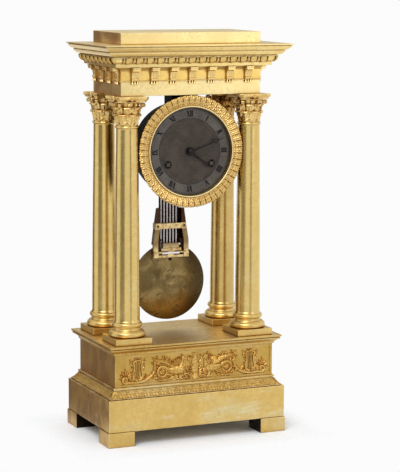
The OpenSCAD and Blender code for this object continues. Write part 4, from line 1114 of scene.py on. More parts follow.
def lyre(x):
    """A lyre with curled arms, strings, a crown and leaves at its foot."""
    bits = []
    arm = [(0.6, -12.4), (4.6, -10.4), (6.6, -5.6), (5.0, 0.6), (5.2, 6.0), (6.8, 9.8), (9.4, 10.0)]
    arm += [(10.2, 7.4), (8.6, 6.2)]
    for side in (-1, 1):
        bits.append(vine([(x + side * a, b) for a, b in arm], 1.9, 0.9))
        bits.append(berry(x + side * 8.3, 7.9, 1.1))
        bits.append(spray(x + side * 5.2, 1.4, 90 - side * 52, 5.4, 3.2))
        bits.append(spray(x + side * 6.0, -5.2, 90 - side * 42, 5.8, 3.2))
        for turn, length in ((68, 7.2), (40, 6.0), (92, 6.6)):
            bits.append(spray(x + side * 2.4, -11.6, 90 - side * turn, length, 3.6))
    for k in (-1.5, 0, 1.5):
        bits.append(vine([(x + 0.9 * k, -9.4), (x + 1.2 * k, 1), (x + 1.5 * k, 10.8)], 0.6, 0.6, lift=0.6))
    bits.append(vine([(x - 6.4, 10.6), (x, 12.4), (x + 6.4, 10.6)], 1.1, 1.1, lift=0.6))
    for k in (-1, 0, 1):
        bits.append(spray(x + 2.2 * k, 11.6, 90 - 30 * k, 4.4, 3.0))
    middle = Matrix.Translation((x, 0, PANEL_Z - 2))
    smaller = middle @ Matrix.Diagonal((0.92, 1, 0.98, 1)) @ middle.inverted()
    return [bit.moved(smaller) for bit in bits]


SCROLL_AT = (41.4, -4.6)
END_SCROLL_AT = (88.2, -10.6)
LYRE_X = 72.6
# x, height, turn, length and width of the loose leaves
LEAVES = (
    (29.0, 3.4, 48, 8.4, 3.4), (33.0, 6.0, 30, 8.4, 3.5), (37.6, 8.0, 14, 8.6, 3.5),
    (42.4, 9.6, 2, 8.6, 3.6), (31.6, 6.6, 86, 5.6, 2.7), (35.4, 8.4, 82, 5.6, 2.7),
    (39.4, 9.6, 70, 5.4, 2.7), (43.6, 8.0, -32, 6.4, 2.9), (49.6, -3.4, 52, 6.2, 2.6),
    (48.8, 2.4, 36, 6.4, 2.6), (50.6, 6.6, 12, 5.8, 2.4), (51.0, 10.4, 48, 5.0, 2.2),
    (49.0, 4.0, 140, 5.4, 2.3), (50.0, -6.0, 24, 6.4, 2.4), (49.0, 11.8, 112, 4.2, 2.0),
    (47.0, 11.6, -120, 4.0, 1.8), (67.0, -13.2, 158, 14.0, 4.2), (52.6, -12.0, 62, 7.4, 3.0),
    (56.6, -11.4, 104, 6.8, 2.8), (59.6, -11.6, 62, 7.8, 3.0), (62.4, -12.8, 34, 6.6, 2.6),
    (64.0, -13.2, 92, 5.6, 2.4), (30.0, -12.8, 128, 4.4, 2.2), (33.0, -13.6, 62, 5.2, 2.4),
    (36.8, -14.0, 118, 4.8, 2.2), (40.8, -14.0, 62, 3.6, 2.0), (44.0, -13.8, 118, 4.0, 2.0),
    (46.8, -13.6, 64, 5.4, 2.4), (79.6, -13.6, 108, 6.2, 2.6), (82.0, -13.6, 66, 5.4, 2.3),
    (84.6, -6.6, 128, 5.4, 2.2), (77.4, -14.0, 62, 4.6, 2.2), (88.4, -6.8, 90, 9.6, 2.8),
    (87.2, -6.8, 112, 8.2, 2.5), (89.6, -7.0, 68, 8.2, 2.5), (90.8, -7.6, 46, 6.2, 2.3),
    (86.2, -7.2, 136, 6.2, 2.3), (92.4, -9.6, 20, 4.2, 1.9),
)
# x, height and radius of the berries
BERRIES = (
    (50.9, 10.4, 1.8), (37.4, 13.2, 1.3), (30.4, -13.4, 1.4), (53.6, 12.6, 1.2), (63.4, 12.2, 1.3),
    (81.8, 12.2, 1.3), (88.2, 3.6, 1.1),
)


def relief_half():
    """The right half of the ornament."""
    x, z = SCROLL_AT
    end_x, end_z = END_SCROLL_AT
    bits = [
        vine([(34.0, -2.6)] + spiral(x, z, 7.2, 4.6, 165, -1.25), 1.9, 1.0),
        vine([(57.0, -9.6), (61.5, -12.0), (66.0, -13.6), (74.0, -14.4), (81.5, -14.2)]
             + spiral(end_x, end_z, 4.3, 1.4, 242, 1.2), 2.0, 1.0),
        vine([(63.0, -12.4), (57.0, -9.4), (53.0, -5.0), (51.2, 0.0), (51.0, 5.0), (51.4, 8.4)], 2.0, 1.1),
        vine([(29.0, -12.0), (34.0, -13.6), (41.0, -14.4), (47.0, -13.6)], 1.4, 1.0),
        vine([(28.0, 1.0), (34.0, 5.0), (40.0, 7.4), (46.0, 8.6), (50.0, 9.8)], 1.8, 1.2),
    ]
    bits += [spray(px, pz, turn, length, width * 1.25, lift=1.3) for px, pz, turn, length, width in LEAVES]
    bits += [berry(*place) for place in BERRIES]
    shape = Shape().add(*bits, *lyre(LYRE_X), griffin(), rosette(x, z, 4.2))
    frill = off_panel(spray(0, 8.4, 64, 4.4, 2.8, lift=1.2))
    return shape.take(ring(frill, 14, FACING, place=on_panel(x, z)))


FLUTES, FLUTE_DEPTH = 14, 0.07


def fluted(profile):
    """A turned body with upright flutes, eight points to each."""
    n = 8 * FLUTES
    waves = [abs(math.sin(math.pi * FLUTES * k / n)) for k in range(n)]
    cuts = [1 - FLUTE_DEPTH + 2 * FLUTE_DEPTH * wave for wave in waves]
    loops = [[(x * cut, y * cut, z) for (x, y), cut in zip(circle(r, n), cuts)] for r, z in profile]
    return Shape().loft(loops)


# x, height, turn and length of the urn's leaves at its right
URN_LEAVES = (
    (5.0, -7.6, 52, 6.2), (6.4, -12.6, 76, 6.6), (6.8, -14.4, 88, 7.0), (5.6, -10.4, 34, 5.4),
    (5.6, -1.6, 78, 4.4), (3.4, 10.0, 58, 4.4), (10.4, -8.8, 30, 4.0), (8.8, -13.8, 40, 5.0),
    (11.6, -14.2, 66, 4.6), (9.6, -6.0, 60, 4.6), (4.2, -4.6, 44, 4.8), (12.4, -11.0, 20, 4.2),
    (2.2, -9.2, 20, 5.0),
)


def urn():
    """The tiered urn in the middle, with handles, leaves and curled stems at its foot."""
    outline = [
        (AXIS, -15.6), (7.2, -15.6), (7.2, -14.2), (6.4, -12.8), (3.6, -10.6), (3.0, -8.2), (5.6, -7.0),
        (5.8, -5.8), (4.6, -5.0), (6.2, -3.2), (6.0, -0.4), (7.6, 0.6), (7.8, 2.6), (5.6, 3.4),
        (4.8, 6.2), (3.6, 9.5), (3.0, 12.6), (3.8, 14.2), (3.6, 15.4), (2.0, 15.9), (AXIS, 16.0),
    ]
    body = fluted(shifted(smooth_line(outline, 3), PANEL_Z))
    shape = body.moved(Matrix.Translation((0, PANEL_Y, 0)) @ Matrix.Diagonal((0.8, 0.4, 1, 1)))
    for s in (-1, 1):
        stem = [(5.6, -12.4), (8.2, -9.4), (11.0, -8.6), (12.6, -10.8), (10.8, -12.4), (9.4, -11.2)]
        handle = [(5.0, 4.4), (7.8, 6.4), (8.0, 9.6), (5.6, 10.4), (4.4, 9.0)]
        bits = [vine([(s * x, z) for x, z in line], 1.1, 0.6, lift=0.6) for line in (stem, handle)]
        for x, z, turn, length in URN_LEAVES:
            bits.append(spray(s * x, z, 90 - s * turn, length, 3.2, lift=1.4))
        bits += [berry(s * x, z, 1.2) for x, z in ((9.0, -4.6), (8.6, 12.2), (13.6, -13.6))]
        shape.add(*bits)
    return shape


def base_relief():
    right = relief_half()
    left = right.moved(Matrix.Diagonal((-1, 1, 1, 1)))
    piece("griffin_relief", Shape().add(right, left, urn()), RELIEF_GILT, "base_relief", sharp=60)


# The columns
PLATE_W, PLATE_H = 45.4, 7.7
FOOT_R, TOP_R = 15.0, 12.8


def column_bases():
    low, high = span("column_bases")
    z = low.z + PLATE_H
    profile = [(AXIS, 0), (17.5, 0)] + arc(17.0, 3.2, 4.4, -47, 62, 10)
    profile += [(18.7, 7.2), (18.5, 7.9)] + arc(18.7, 10.2, 3.0, 232, 132, 8)
    profile += [(17.0, 12.5)] + arc(15.1, 14.2, 2.9, -46, 50, 8)
    profile = shifted(profile, z) + [(16.4, high.z), (AXIS, high.z)]
    half = PLATE_W / 2
    shape = Shape()
    for tag in CORNERS:
        x, y = axis_of("column_shaft_" + tag)
        plate = block((x - half, y - half, low.z), (x + half, y + half, z), 0.6)
        shape.add(plate, turned(soft_corners(profile, 0.3, 2), (x, y)))
    piece("turned_bases", shape, BASE_GILT, "column_bases")


def column_shafts():
    for tag in CORNERS:
        node = "column_shaft_" + tag
        low, high = span(node)
        # The back right shaft gets the darker copy, as painted shade.
        finish = SHADED_TURNED_GILT if tag == "br" else TURNED_GILT
        rise = high.z - low.z - 9
        foot = [(AXIS, 0), (FOOT_R + 1.0, 0), (FOOT_R + 1.0, 1.3), (FOOT_R + 0.3, 2.2)]
        taper = [(FOOT_R - (FOOT_R - TOP_R) * t ** 1.35, 3.4 + rise * t) for t in shares(24)]
        neck = [(TOP_R + 0.2, -4.6), (TOP_R + 0.6, -4.2)] + arc(TOP_R - 0.1, -2.5, 1.5, -70, 80, 8)
        profile = shifted(foot + taper, low.z) + shifted(neck + [(TOP_R, 0), (AXIS, 0)], high.z)
        piece("shaft_" + tag, turned(profile, axis_of(node)), finish, node, sharp=50)


# The leaf capitals, modelled about their own axis from the top of the shaft up
BELL_H = 26.5
LOBES = 5


def acanthus(path, width):
    """A curled leaf with lobed edges and folds that run to its rib."""
    def half_width(v):
        swell = 0.62 + 0.38 * math.sin(math.pi * min(1.0, 0.1 + 0.8 * v))
        tip = 1.0 if v < 0.72 else max(0.28, math.sqrt(max(0.0, 1 - ((v - 0.72) / 0.3) ** 2)))
        notch = 1 - 0.26 * abs(math.cos(math.pi * (LOBES * v + 0.5))) ** 5
        return width / 2 * swell * tip * notch

    def relief(u, v):
        fold = 0.55 * math.cos(2 * math.pi * (LOBES * v - 0.75 * abs(u))) * min(1.0, 2.2 * abs(u))
        rib = 0.8 * math.exp(-((u / 0.13) ** 2))
        return 0.7 + rib + fold - 0.8 * u * u
    return leaf(path, half_width, relief, 0.5, about_z, across=13)


def leaf_path(foot, bend, curl_r):
    """Up from the foot to the bend, then over in a curl."""
    (x0, z0), (x1, z1) = foot, bend
    rise = [(x0 + (x1 - x0) * t ** 1.6, z0 + (z1 - z0) * t) for t in shares(9)[:-1]]
    return rise + arc(x1 + curl_r, z1, curl_r, 180, -35, 9)


def scroll_ribbon(start, centre, r, width, turns=1.6, n=30):
    """A rolled ribbon in an upright plane that faces along X: it rises from start and rolls in at centre."""
    joint = (centre[0] - r * 0.55, centre[1] + r * 0.86)
    stem = smooth_line([start, (start[0] + 1.6, start[1] + 4.2), joint], 5)
    roll = spiral(*centre, r, 0.18 * r, 122, -turns, n, 0.9)[1:]
    loops = []
    for t, (out, up), face in sections(stem + roll):
        half = width / 2 * (0.55 + 0.45 * min(1, t * 2.4))
        thick = 0.75 - 0.3 * t
        section = [(-half, thick), (-half * 0.4, thick * 0.55), (half * 0.4, thick * 0.55), (half, thick)]
        section += [(half, -thick), (-half, -thick)]
        loops.append([(a, -(out + face.x * b), up + face.y * b) for a, b in section])
    eye = [(AXIS, -width * 0.56), (r * 0.26, -width * 0.5), (r * 0.3, 0)]
    eye += [(a, -b) for a, b in reversed(eye[:2])]
    knob = faced(eye, n=14, closed=False).moved(Matrix.Rotation(math.radians(90), 4, "Z"))
    return Shape().loft(loops).add(knob.moved(Matrix.Translation((0, -centre[0], centre[1]))))


def abacus():
    """The capital's top plate, with hollow sides and cut horns."""
    def loop(more, z):
        out = []
        for k in range(4):
            c, s = math.cos(math.pi / 2 * k), math.sin(math.pi / 2 * k)
            for i in range(13):
                x = -17.0 + 34.0 * i / 12
                y = -(16.4 + x * x / 80 + more)
                x *= 1 + more / 26
                out.append((c * x - s * y, s * x + c * y, z))
        return out
    steps = [(-4.0, 0.0), (-2.4, 0.0), (-2.2, 0.9), (-1.6, 1.9), (-0.7, 2.6), (-0.5, 2.9), (-0.5, 3.3)]
    steps += [(0.1, 3.6), (0.2, 4.0), (0.2, 6.1), (0.0, 6.5), (-4.0, 6.5)]
    return Shape().loft([loop(g, BELL_H + z) for g, z in steps])


def rosette_unit(r):
    """A flower for the middle of an abacus side, facing out along -Y."""
    place = (0, -16.3, BELL_H + 3.4)
    knob = [(AXIS, -1.7), (r * 0.25, -1.5), (r * 0.34, -0.8), (r * 0.34, 0.4), (AXIS, 0.4)]
    knob = faced(shifted(knob, place[1]), (0, place[2]), n=16, closed=False)
    return Shape().take(petals(r, r * 0.9, 7, place)).add(knob)


def capital_shape():
    low = acanthus(leaf_path((12.6, 0.2), (14.3, 10.8), 1.15), 12.0)
    tall = acanthus(leaf_path((13.0, 6.0), (15.0, 19.2), 1.1), 12.2)
    stalk = scroll_ribbon((14.4, 14.0), (20.0, 23.0), 2.5, 3.2)
    curl = scroll_ribbon((14.4, 16.0), (16.6, 23.3), 1.6, 2.2, turns=1.2, n=20)
    bell = [(AXIS, 0), (12.0, 0)] + [(11.8 + 2.9 * t ** 2, BELL_H * t) for t in shares(10)[1:]]
    bell += [(16.4, BELL_H - 0.3), (16.4, BELL_H + 0.2), (AXIS, BELL_H + 0.2)]
    shape = turned(bell, n=64)
    flower = rosette_unit(2.9)
    rings = ((low, 8, 0), (tall, 8, 22.5), (stalk, 4, 45), (curl, 4, -14), (curl, 4, 14), (flower, 4, 0))
    for unit, count, start in rings:
        shape.take(ring(unit, count, UPRIGHT, start))
    return shape.add(abacus())


def capitals():
    shape = capital_shape()
    for tag in CORNERS:
        node = "capital_" + tag
        x, y = axis_of("column_shaft_" + tag)
        z = span(node)[0].z
        # The back right capital gets the darker copy, as painted shade.
        finish = SHADED_LEAF_GILT if tag == "br" else LEAF_GILT
        piece("leaf_" + node, shape.moved(Matrix.Translation((x, y, z))), finish, node, sharp=48)


# The entablature
def beams():
    piece("architrave_beam", block(*BEAM, 0.6), PALE_GILT, "architrave")
    piece("frieze_band", block(*FRIEZE, 0.4), FRIEZE_GILT, "frieze")
    fillet = [(-2, -0.9), (0.5, -0.9), (0.7, -0.5), (0.7, 0.4), (0.4, 0.8), (-2, 0.8)]
    bed = [(-2, -4.0), (0.5, -4.0), (0.8, -3.2), (0.9, -2.4), (2.0, -1.2), (2.4, -0.8), (2.4, 0), (-2, 0)]
    piece("frieze_fillet", moulded(FRIEZE, shifted(fillet, FRIEZE[0].z), 0.15), PLAIN_GILT)
    # Painted shade under the cornice, by the darker copy of the gilding.
    piece("bed_moulding", moulded(FRIEZE, shifted(bed, FRIEZE[1].z), 0.15), SHADED_GILT)
    piece("attic_top", block(*ATTIC, 0.6), PALE_GILT, "attic_block")


MODILLION_STEP = 24.0
MODILLION_W = 8.4
CAP_W = 10.2
DROP_STEP = 3.1


def modillion():
    """A scrolled bracket with a cap, flutes and three drops, standing out along -Y from its foot."""
    h = FRIEZE[1].z - FRIEZE[0].z
    side = [(0, 0.3), (2.6, 0.3)] + arc(2.2, 2.2, 1.5, -70, 80, 6) + [(2.3, 4.4), (2.5, 6.0), (2.9, 8.0)]
    side += [(3.4, 9.4)] + arc(3.8, h - 5.6, 1.2, -50, 60, 5) + [(4.0, h - 4.2), (0, h - 4.2)]
    rows = [(-1.0, 0.3), (-0.94, 0.0), (-0.5, 0.0), (-0.42, 0.18), (-0.3, 0.18), (-0.2, 0.0)]
    rows += [(-u, d) for u, d in reversed(rows)]
    half = MODILLION_W / 2
    body = Shape().loft([[(u * half, -max(out - cut, 0.0), up) for out, up in side] for u, cut in rows])
    half = CAP_W / 2
    cap = block((0.3 - half, -8.4, h - 4.3), (half - 0.3, 0, h - 1.3), 0.2)
    lip = block((-half, -9.2, h - 1.4), (half, 0, h), 0.2)
    drop = [(AXIS, 0.6), (0.5, 0.6), (0.55, -0.2), (1.45, -2.6), (1.5, -3.0), (1.2, -3.15), (AXIS, -3.15)]
    drops = [turned(drop, (k * DROP_STEP, -1.9), n=16) for k in (-1, 0, 1)]
    return body.add(cap, lip, *drops)


def modillions():
    unit = modillion()
    low, high = FRIEZE
    shape = Shape().take(row(unit, 7, (-3 * MODILLION_STEP, low.y, low.z), (MODILLION_STEP, 0, 0)))
    for x, turn in ((low.x, -90), (high.x, 90)):
        first = (x, (low.y + high.y) / 2 - 1.5 * MODILLION_STEP, low.z)
        shape.take(row(unit, 4, first, (0, MODILLION_STEP, 0), turn))
    piece("scroll_modillions", shape, BRACKET_GILT, "modillions")


CORNICE_STEP = 13.1


def cornice():
    z, top = CORNICE[0].z, CORNICE[1].z
    reach = FRIEZE[0].x - CORNICE[0].x
    back = (CORNICE[1].y - FRIEZE[1].y) / reach
    turns = [math.pi / 2 * t for t in shares(8)]
    band = [(11.2 + 4.4 * math.sin(t), z + 11.6 - 6.0 * math.cos(t)) for t in turns]
    under = [(-10, 0), (6.0, 0), (6.0, 0.8), (10.2, 0.9), (10.4, 4.6), (9.8, 4.8), (9.8, 5.2)]
    over = [
        (16.4, 11.7), (16.6, 12.5), (14.8, 12.6), (14.8, 13.5), (18.2, 13.8), (18.8, 14.0), (21.2, 16.4),
        (22.6, 18.3), (21.8, 18.5), (21.8, 19.3), (24.4, 19.6), (25.0, 20.2), (27.4, 22.6), (28.6, 24.0),
        (27.4, 24.2), (27.4, 24.9), (reach, 25.1),
    ]
    profile = shifted(under, z) + [(out - 1.3, up) for out, up in band] + shifted(over, z)
    profile += [(reach, top), (-10, top)]
    piece("cornice_run", moulded(FRIEZE, profile, 0.25, back), CORNICE_GILT, "cornice")
    unit = egg_unit(band, CORNICE_STEP, 1.6)
    sides = ("front", "left", "right")
    leaf_band("cornice_eggs", FRIEZE, unit, mitre_leaf(band, 5, 0.8), CORNICE_STEP, 16, sides, EGG_GILT)


# The clock
BEZEL_LEAVES = 52
BEZEL_MID = 61.0
BEZEL_INNER = 51.9


def about_clock(across, out, depth):
    """A leaf's place on the bezel: out is its radius, and it keeps its angle as the radius grows."""
    turn = across / BEZEL_MID
    return (out * math.sin(turn), depth, out * math.cos(turn))


def bezel():
    front_y, back_y = BEZEL[0].y, BEZEL[1].y
    rim = BEZEL[1].x
    inner = BEZEL_INNER
    lip = [(0.1, 2.6), (0.4, 1.6), (0.9, 1.3), (1.7, 1.4), (2.1, 2.0), (2.3, 4.0)]
    ground = [(7.0, 3.8), (3.6, 3.4), (1.9, 3.2), (1.6, 3.8), (3.0, 5.0)]
    front = [(inner + out, y) for out, y in lip] + [(rim - back, y) for back, y in ground]
    profile = [(inner, DIAL_FRONT + 0.4)] + shifted(front, front_y)
    profile += [(rim - 3.2, back_y - 1.0), (rim - 4.4, back_y)]
    profile += [(inner + 2.7, back_y), (inner + 2.7, DIAL_FRONT + 0.4)]
    piece("bezel_ring", faced(profile, (0, DIAL_Z)), PALE_GILT, "bezel", sharp=45)
    line = [(inner + 2.3, 2.7), (inner + 5.0, 2.1), (rim - 6.0, 1.4), (rim - 3.4, 1.0)]
    line += [(rim - 1.6, 1.5), (rim - 0.7, 2.6), (rim - 1.0, 3.6)]
    path = smooth_line(shifted(line, front_y), 4)
    width = 2 * math.pi * BEZEL_MID / BEZEL_LEAVES

    def half_width(v):
        return width * 0.5 * (1.0 if v < 0.8 else math.sqrt(max(0.2, 1 - ((v - 0.8) / 0.24) ** 2)))

    def relief(u, v):
        a = abs(u)
        gap = math.exp(-(((1 - a) / 0.15) ** 2)) * (0.2 + 0.85 * math.exp(-(((v - 0.5) / 0.17) ** 2)))
        ribs = 0.3 * math.cos(3 * math.pi * u)
        veins = 0.28 * math.cos(2 * math.pi * (5.0 * v - 1.1 * a))
        tip = 0.4 * math.exp(-(((v - 0.84) / 0.12) ** 2))
        return ribs + veins + tip - gap
    unit = leaf(path, half_width, relief, 0.8, about_clock, across=25)
    dome = [(AXIS, -0.8), (0.6, -0.6), (0.8, 0), (0.6, 0.6), (AXIS, 0.8)]
    bead = faced(shifted(dome, front_y + 2.6), (0, rim - 1.6), n=10, closed=False)
    middle = (0, 0, DIAL_Z)
    leaves = ring(unit, BEZEL_LEAVES, FACING, place=middle)
    beads = ring(bead, BEZEL_LEAVES, FACING, 180 / BEZEL_LEAVES, middle)
    piece("bezel_leaves", Shape().take(leaves, beads), CHASED_GILT, sharp=60)


NUMERALS = ("I", "II", "III", "IIII", "V", "VI", "VII", "VIII", "IX", "X", "XI", "XII")
NUMERAL_H = 7.0
NUMERAL_R = 44.2
# Thickness of the numerals' filling, and how deep its back lies in the dial
INK, SUNK = 0.06, 0.02


def prism(outline, lay):
    """A thin raised shape: outline in the numeral's own frame, lay puts a point on the dial."""
    return Shape().loft([[lay(x, z, 0.0) for x, z in outline], [lay(x, z, INK) for x, z in outline]])


def strokes(letter):
    """The strokes of a letter, as outlines about its middle."""
    h = NUMERAL_H / 2

    def slant(low_x, high_x, w):
        return [(low_x - w / 2, -h), (low_x + w / 2, -h), (high_x + w / 2, h), (high_x - w / 2, h)]

    def foot(x, z, w):
        return [(x - w / 2, z - 0.2), (x + w / 2, z - 0.2), (x + w / 2, z + 0.2), (x - w / 2, z + 0.2)]
    if letter == "I":
        return [slant(0, 0, 1.6), foot(0, h - 0.2, 2.2), foot(0, 0.2 - h, 2.2)]
    if letter == "V":
        return [slant(0, -1.7, 1.8), slant(0.3, 1.8, 0.8), foot(-1.7, h - 0.2, 2.2), foot(1.8, h - 0.2, 1.6)]
    ends = [foot(x, z, 1.8) for x in (-1.7, 1.7) for z in (h - 0.2, 0.2 - h)]
    return [slant(1.7, -1.7, 1.8), slant(-1.7, 1.7, 0.8)] + ends


LETTER_W = {"I": 2.0, "V": 4.3, "X": 4.3}


def numerals():
    shape = Shape()
    for hour, word in enumerate(NUMERALS, 1):
        turn = math.radians(30 * hour)
        x = -sum(LETTER_W[c] for c in word) / 2
        for letter in word:
            x += LETTER_W[letter] / 2

            def lay(a, b, lift, x=x, turn=turn):
                out = NUMERAL_R + b
                across = x + a
                return (
                    out * math.sin(turn) + across * math.cos(turn), DIAL_FRONT + SUNK - lift,
                    DIAL_Z + out * math.cos(turn) - across * math.sin(turn),
                )
            shape.add(*[prism(outline, lay) for outline in strokes(letter)])
            x += LETTER_W[letter] / 2
    for r, w in ((CHAPTER_IN, 0.22), (CHAPTER_OUT, 0.16)):
        y0, y1 = DIAL_FRONT + SUNK, DIAL_FRONT - INK
        shape.add(faced([(r - w, y0), (r - w, y1), (r + w, y1), (r + w, y0)], (0, DIAL_Z)))
    piece("dial_numerals", shape, BLACK_WAX, slot="dial_metal")


WINDING_X = 27.8
WINDING_DROP = 15.0


def winding_collars():
    """The dark collars round the two winding holes."""
    rim = [(3.3, 0.3), (3.3, -0.5), (3.6, -0.8), (4.3, -0.7), (4.8, -0.2), (4.9, 0.3)]
    rim = shifted(rim, DIAL_FRONT)
    collars = [faced(rim, (s * WINDING_X, DIAL_Z - WINDING_DROP), n=40) for s in (-1, 1)]
    piece("winding_collars", Shape().add(*collars), BLUED, slot="dial_metal")


def hand_boss():
    """The domed washer that holds the minute hand."""
    y = span("minute_hand")[0].y
    tip = min(y, span("cannon_pinion")[0].y, span("centre_wheel")[0].y)
    dome = shifted([(1.9, 0.2), (3.4, 0.1), (3.5, -0.3), (2.9, -0.8)], y)
    dome += shifted([(2.4, -0.2), (1.6, -0.5), (AXIS, -0.6), (AXIS, -0.1), (1.9, -0.1)], tip)
    piece("hand_washer", faced(dome, (0, DIAL_Z), n=40), BLUED, slot="blued_steel", body="minute")


# The pendulum
SWINGING = "pendulum"
FRAME_WAIST, FRAME_HEAD = 245.6, 266.0
SCREW_X, SCREW_Z = 17.2, 244.9


def sheet_metal(outline, back_y, front_y, side=1):
    """A flat piece of metal in the front plane, mirrored where side is -1."""
    return Shape().loft([[(side * x, y, z) for x, z in outline] for y in (back_y, front_y)])


def dark_lining(low, high):
    """The red-brown tray behind the rods, whose floor lies on the frame's back panel."""
    foot = BOB[1].z + 0.5
    line = [(19.4, foot), (16.4, FRAME_WAIST), (13.4, FRAME_HEAD)]
    wall = line + [(x + 2.2, z) for x, z in reversed(line)]
    gusset = [(11.4, foot + 7), (19.8, foot + 7), (20.8, low.z + 8), (15.0, low.z + 8)]
    shape = sheet_metal(line + [(-x, z) for x, z in reversed(line)], high.y - 1.2, high.y - 1.5)
    for side in (-1, 1):
        shape.add(sheet_metal(wall, high.y - 0.1, low.y + 3.4, side))
        shape.add(sheet_metal(gusset, low.y + 3.5, low.y + 4.1, side))
    piece("frame_lining", shape, RED_BROWN, slot="old_bronze", body=SWINGING)


def pendulum():
    softened("gridiron_frame", "pendulum_frame", 0.3, FRAME_GILT, slot="movement_brass", body=SWINGING)
    low, high = span("pendulum_frame")
    dark_lining(low, high)
    head = [(AXIS, -0.3), (1.2, -0.2), (1.4, 0.0), (1.4, 0.4), (AXIS, 0.4)]
    head = shifted(head, low.y + 0.8)
    screws = [faced(head, (s * SCREW_X, SCREW_Z), n=20, closed=False) for s in (-1, 1)]
    piece("frame_screws", Shape().add(*screws), BLUED, slot="steel", body=SWINGING)
    sleeve = [(AXIS, -11.4), (1.5, -11.4), (1.8, -11.0), (1.8, 11.0), (1.5, 11.4), (AXIS, 11.4)]
    lying = Matrix.Translation((0, low.y + 2.1, low.z + 5.4)) @ Matrix.Rotation(math.radians(90), 4, "Y")
    piece("silver_roller", turned(sleeve, n=28).moved(lying), STEEL, slot="steel", body=SWINGING)


# Finishes of the CAD pieces that stay
NODE_FINISH = {
    "steel_rods": STEEL, "bronze_rods": BROWN_RODS, "drum": PATINA_AND_SHADE, "drum_hanger": PATINA_AND_SHADE, "bob": OLD_BRASS,
    "rating_nut": BLUED, "going_arbor": DULL_SQUARE, "strike_arbor": DULL_SQUARE, "hammer": IRON,
}


def dress_cad_nodes():
    slots = {part["node"]: part["material_slot"] for part in frame["record"]["subparts"]}
    for name, obj in frame["nodes"].items():
        finish = NODE_FINISH.get(name) or SLOT_FINISH[slots[name]]
        obj.data.materials.clear()
        obj.data.materials.append(finish)


# Stage, light and camera
FLOOR_HALF = 4.0
# Width over which the floor's tone changes on either side of the feet's edge
FADE_MM = 60


def flat_sheet(name, corners, finish):
    """A sheet of the stage, which isn't part of the object."""
    mesh = bpy.data.meshes.new(name)
    mesh.from_pydata(corners, [], [(0, 1, 2, 3)])
    mesh.materials.append(finish.material)
    obj = put(name, mesh)
    return obj


def floor():
    """White paper that fades into the backdrop a little way from the feet, with a darker, bluer painted
    shadow under them.
    """
    paper = Finish("paper floor")
    past_x = abs(paper.part_of_place(0)) - FEET[1].x
    past = past_x.most(abs(paper.part_of_place(1)) - FEET[1].y)
    # Painted shadow: a darker, bluer tone under the case, within the feet's edge.
    tint = paper.mix(paper.steps(past, -FADE_MM, 0), colour(0.72, 0.83, 1.0), colour(0.92, 0.95, 1.0))
    white = paper.node("ShaderNodeBsdfDiffuse", {}, {"Color": tint})
    clear = paper.node("ShaderNodeBsdfTransparent")
    both = paper.node("ShaderNodeMixShader", {}, {0: paper.steps(past, 0, FADE_MM), 1: white, 2: clear})
    paper.join(paper.tree.nodes["Material Output"].inputs["Surface"], both)
    h = FLOOR_HALF
    flat_sheet("paper_floor", [(-h, -h, 0), (h, -h, 0), (h, h, 0), (-h, h, 0)], paper)


def backdrop():
    """White where it is seen or mirrored, and a softer light on the object."""
    world = bpy.data.worlds.new("white backdrop")
    bpy.context.scene.world = world
    world.use_nodes = True
    sheet = Sheet(world.node_tree)
    rays = ("Is Camera Ray", "Is Glossy Ray", "Is Transmission Ray")
    seen, mirrored, through = (sheet.node("ShaderNodeLightPath", output=ray) for ray in rays)
    sky = world.node_tree.nodes["Background"].inputs
    sheet.join(sky["Color"], colour(1, 1, 1))
    sheet.join(sky["Strength"], 0.74 + (seen + mirrored + through).held() * 0.23)


def upright(start, end, foot, head):
    """Corners of an upright sheet over a line on the floor."""
    return [(*start, foot), (*end, foot), (*end, head), (*start, head)]


def card(name, corners, shade):
    """A sheet beside the object that only mirrors see."""
    finish = Finish(name)
    finish.done(base_color=colour(*shade), roughness=0.9)
    obj = flat_sheet(name, corners, finish)
    obj.visible_camera = False
    obj.visible_shadow = False
    obj.visible_diffuse = False


def soft_box(name, place, aim, size, power):
    """A square lamp that looks at aim."""
    lamp = bpy.data.lights.new(name, "AREA")
    lamp.shape = "SQUARE"
    lamp.size = size
    lamp.energy = power
    obj = put(name, lamp)
    obj.location = place
    obj.rotation_euler = (Vector(place) - Vector(aim)).to_track_quat("Z", "Y").to_euler()


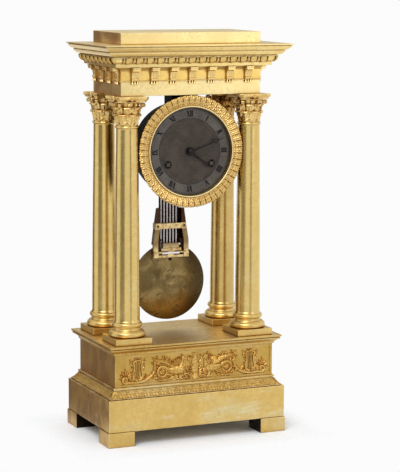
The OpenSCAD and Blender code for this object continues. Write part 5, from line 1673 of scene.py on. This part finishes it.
def lights():
    soft_box("high_left_box", (-1.3, -1.5, 2.2), (0, 0, 0.2), 1.3, 36)
    soft_box("front_right_box", (0.75, -1.5, 0.62), (0, 0, 0.4), 0.5, 1.2)
    brown, grey, pale = (0.22, 0.168, 0.115), (0.36, 0.36, 0.32), (0.6, 0.59, 0.57)
    on_floor = [(-0.135, 0, 0.001), (-0.13, 0.25, 0.001), (-0.25, 0.86, 0.001), (-0.74, 0.66, 0.001)]
    card("brown_card_behind", upright((-0.75, 0.66), (-0.25, 0.865), 0, 0.62), brown)
    card("brown_card_on_floor", on_floor, brown)
    card("grey_card_left", upright((-0.58, -0.55), (-0.79, -0.05), 0, 0.6), grey)
    card("grey_card_front", upright((0.02, -0.8), (0.2, -0.78), 0, 0.6), grey)
    card("pale_card_far_behind", upright((-0.4, 2.2), (2.6, 2.2), 0.2, 1.6), pale)


# The camera that took the photograph, fitted to the edges of the case
YAW, PITCH, ROLL = (math.radians(a) for a in (-23.93, 8.23, 0.31))
DISTANCE, ASIDE, AIM_Z = 2272.0, 28.8, 234.7
FOCAL_PX = 1890.0
PHOTO_H = 472


def camera():
    back = Vector((math.sin(YAW) * math.cos(PITCH), -math.cos(YAW) * math.cos(PITCH), math.sin(PITCH)))
    right = Vector((math.cos(YAW), math.sin(YAW), 0))
    up = back.cross(right)
    side = right * math.cos(ROLL) + up * math.sin(ROLL)
    top = up * math.cos(ROLL) - right * math.sin(ROLL)
    eye = back * DISTANCE + right * ASIDE + Vector((0, 0, AIM_Z))
    lens = bpy.data.cameras.new("camera")
    lens.sensor_width = 36.0
    lens.lens = FOCAL_PX / PHOTO_H * lens.sensor_width
    lens.clip_start, lens.clip_end = 0.1, 60.0
    obj = put("camera", lens)
    turn = Matrix((side, top, back)).transposed()
    obj.matrix_world = Matrix.Translation(eye * MM) @ turn.to_4x4()
    bpy.context.scene.camera = obj


def main():
    camera()
    floor()
    backdrop()
    lights()
    dress_cad_nodes()
    feet()
    plinth()
    plinth_moulding()
    relief_box()
    base_relief()
    base_top()
    column_bases()
    column_shafts()
    capitals()
    beams()
    modillions()
    cornice()
    bezel()
    numerals()
    winding_collars()
    hand_boss()
    pendulum()
    bpy.context.scene.view_settings.view_transform = "Standard"


main()
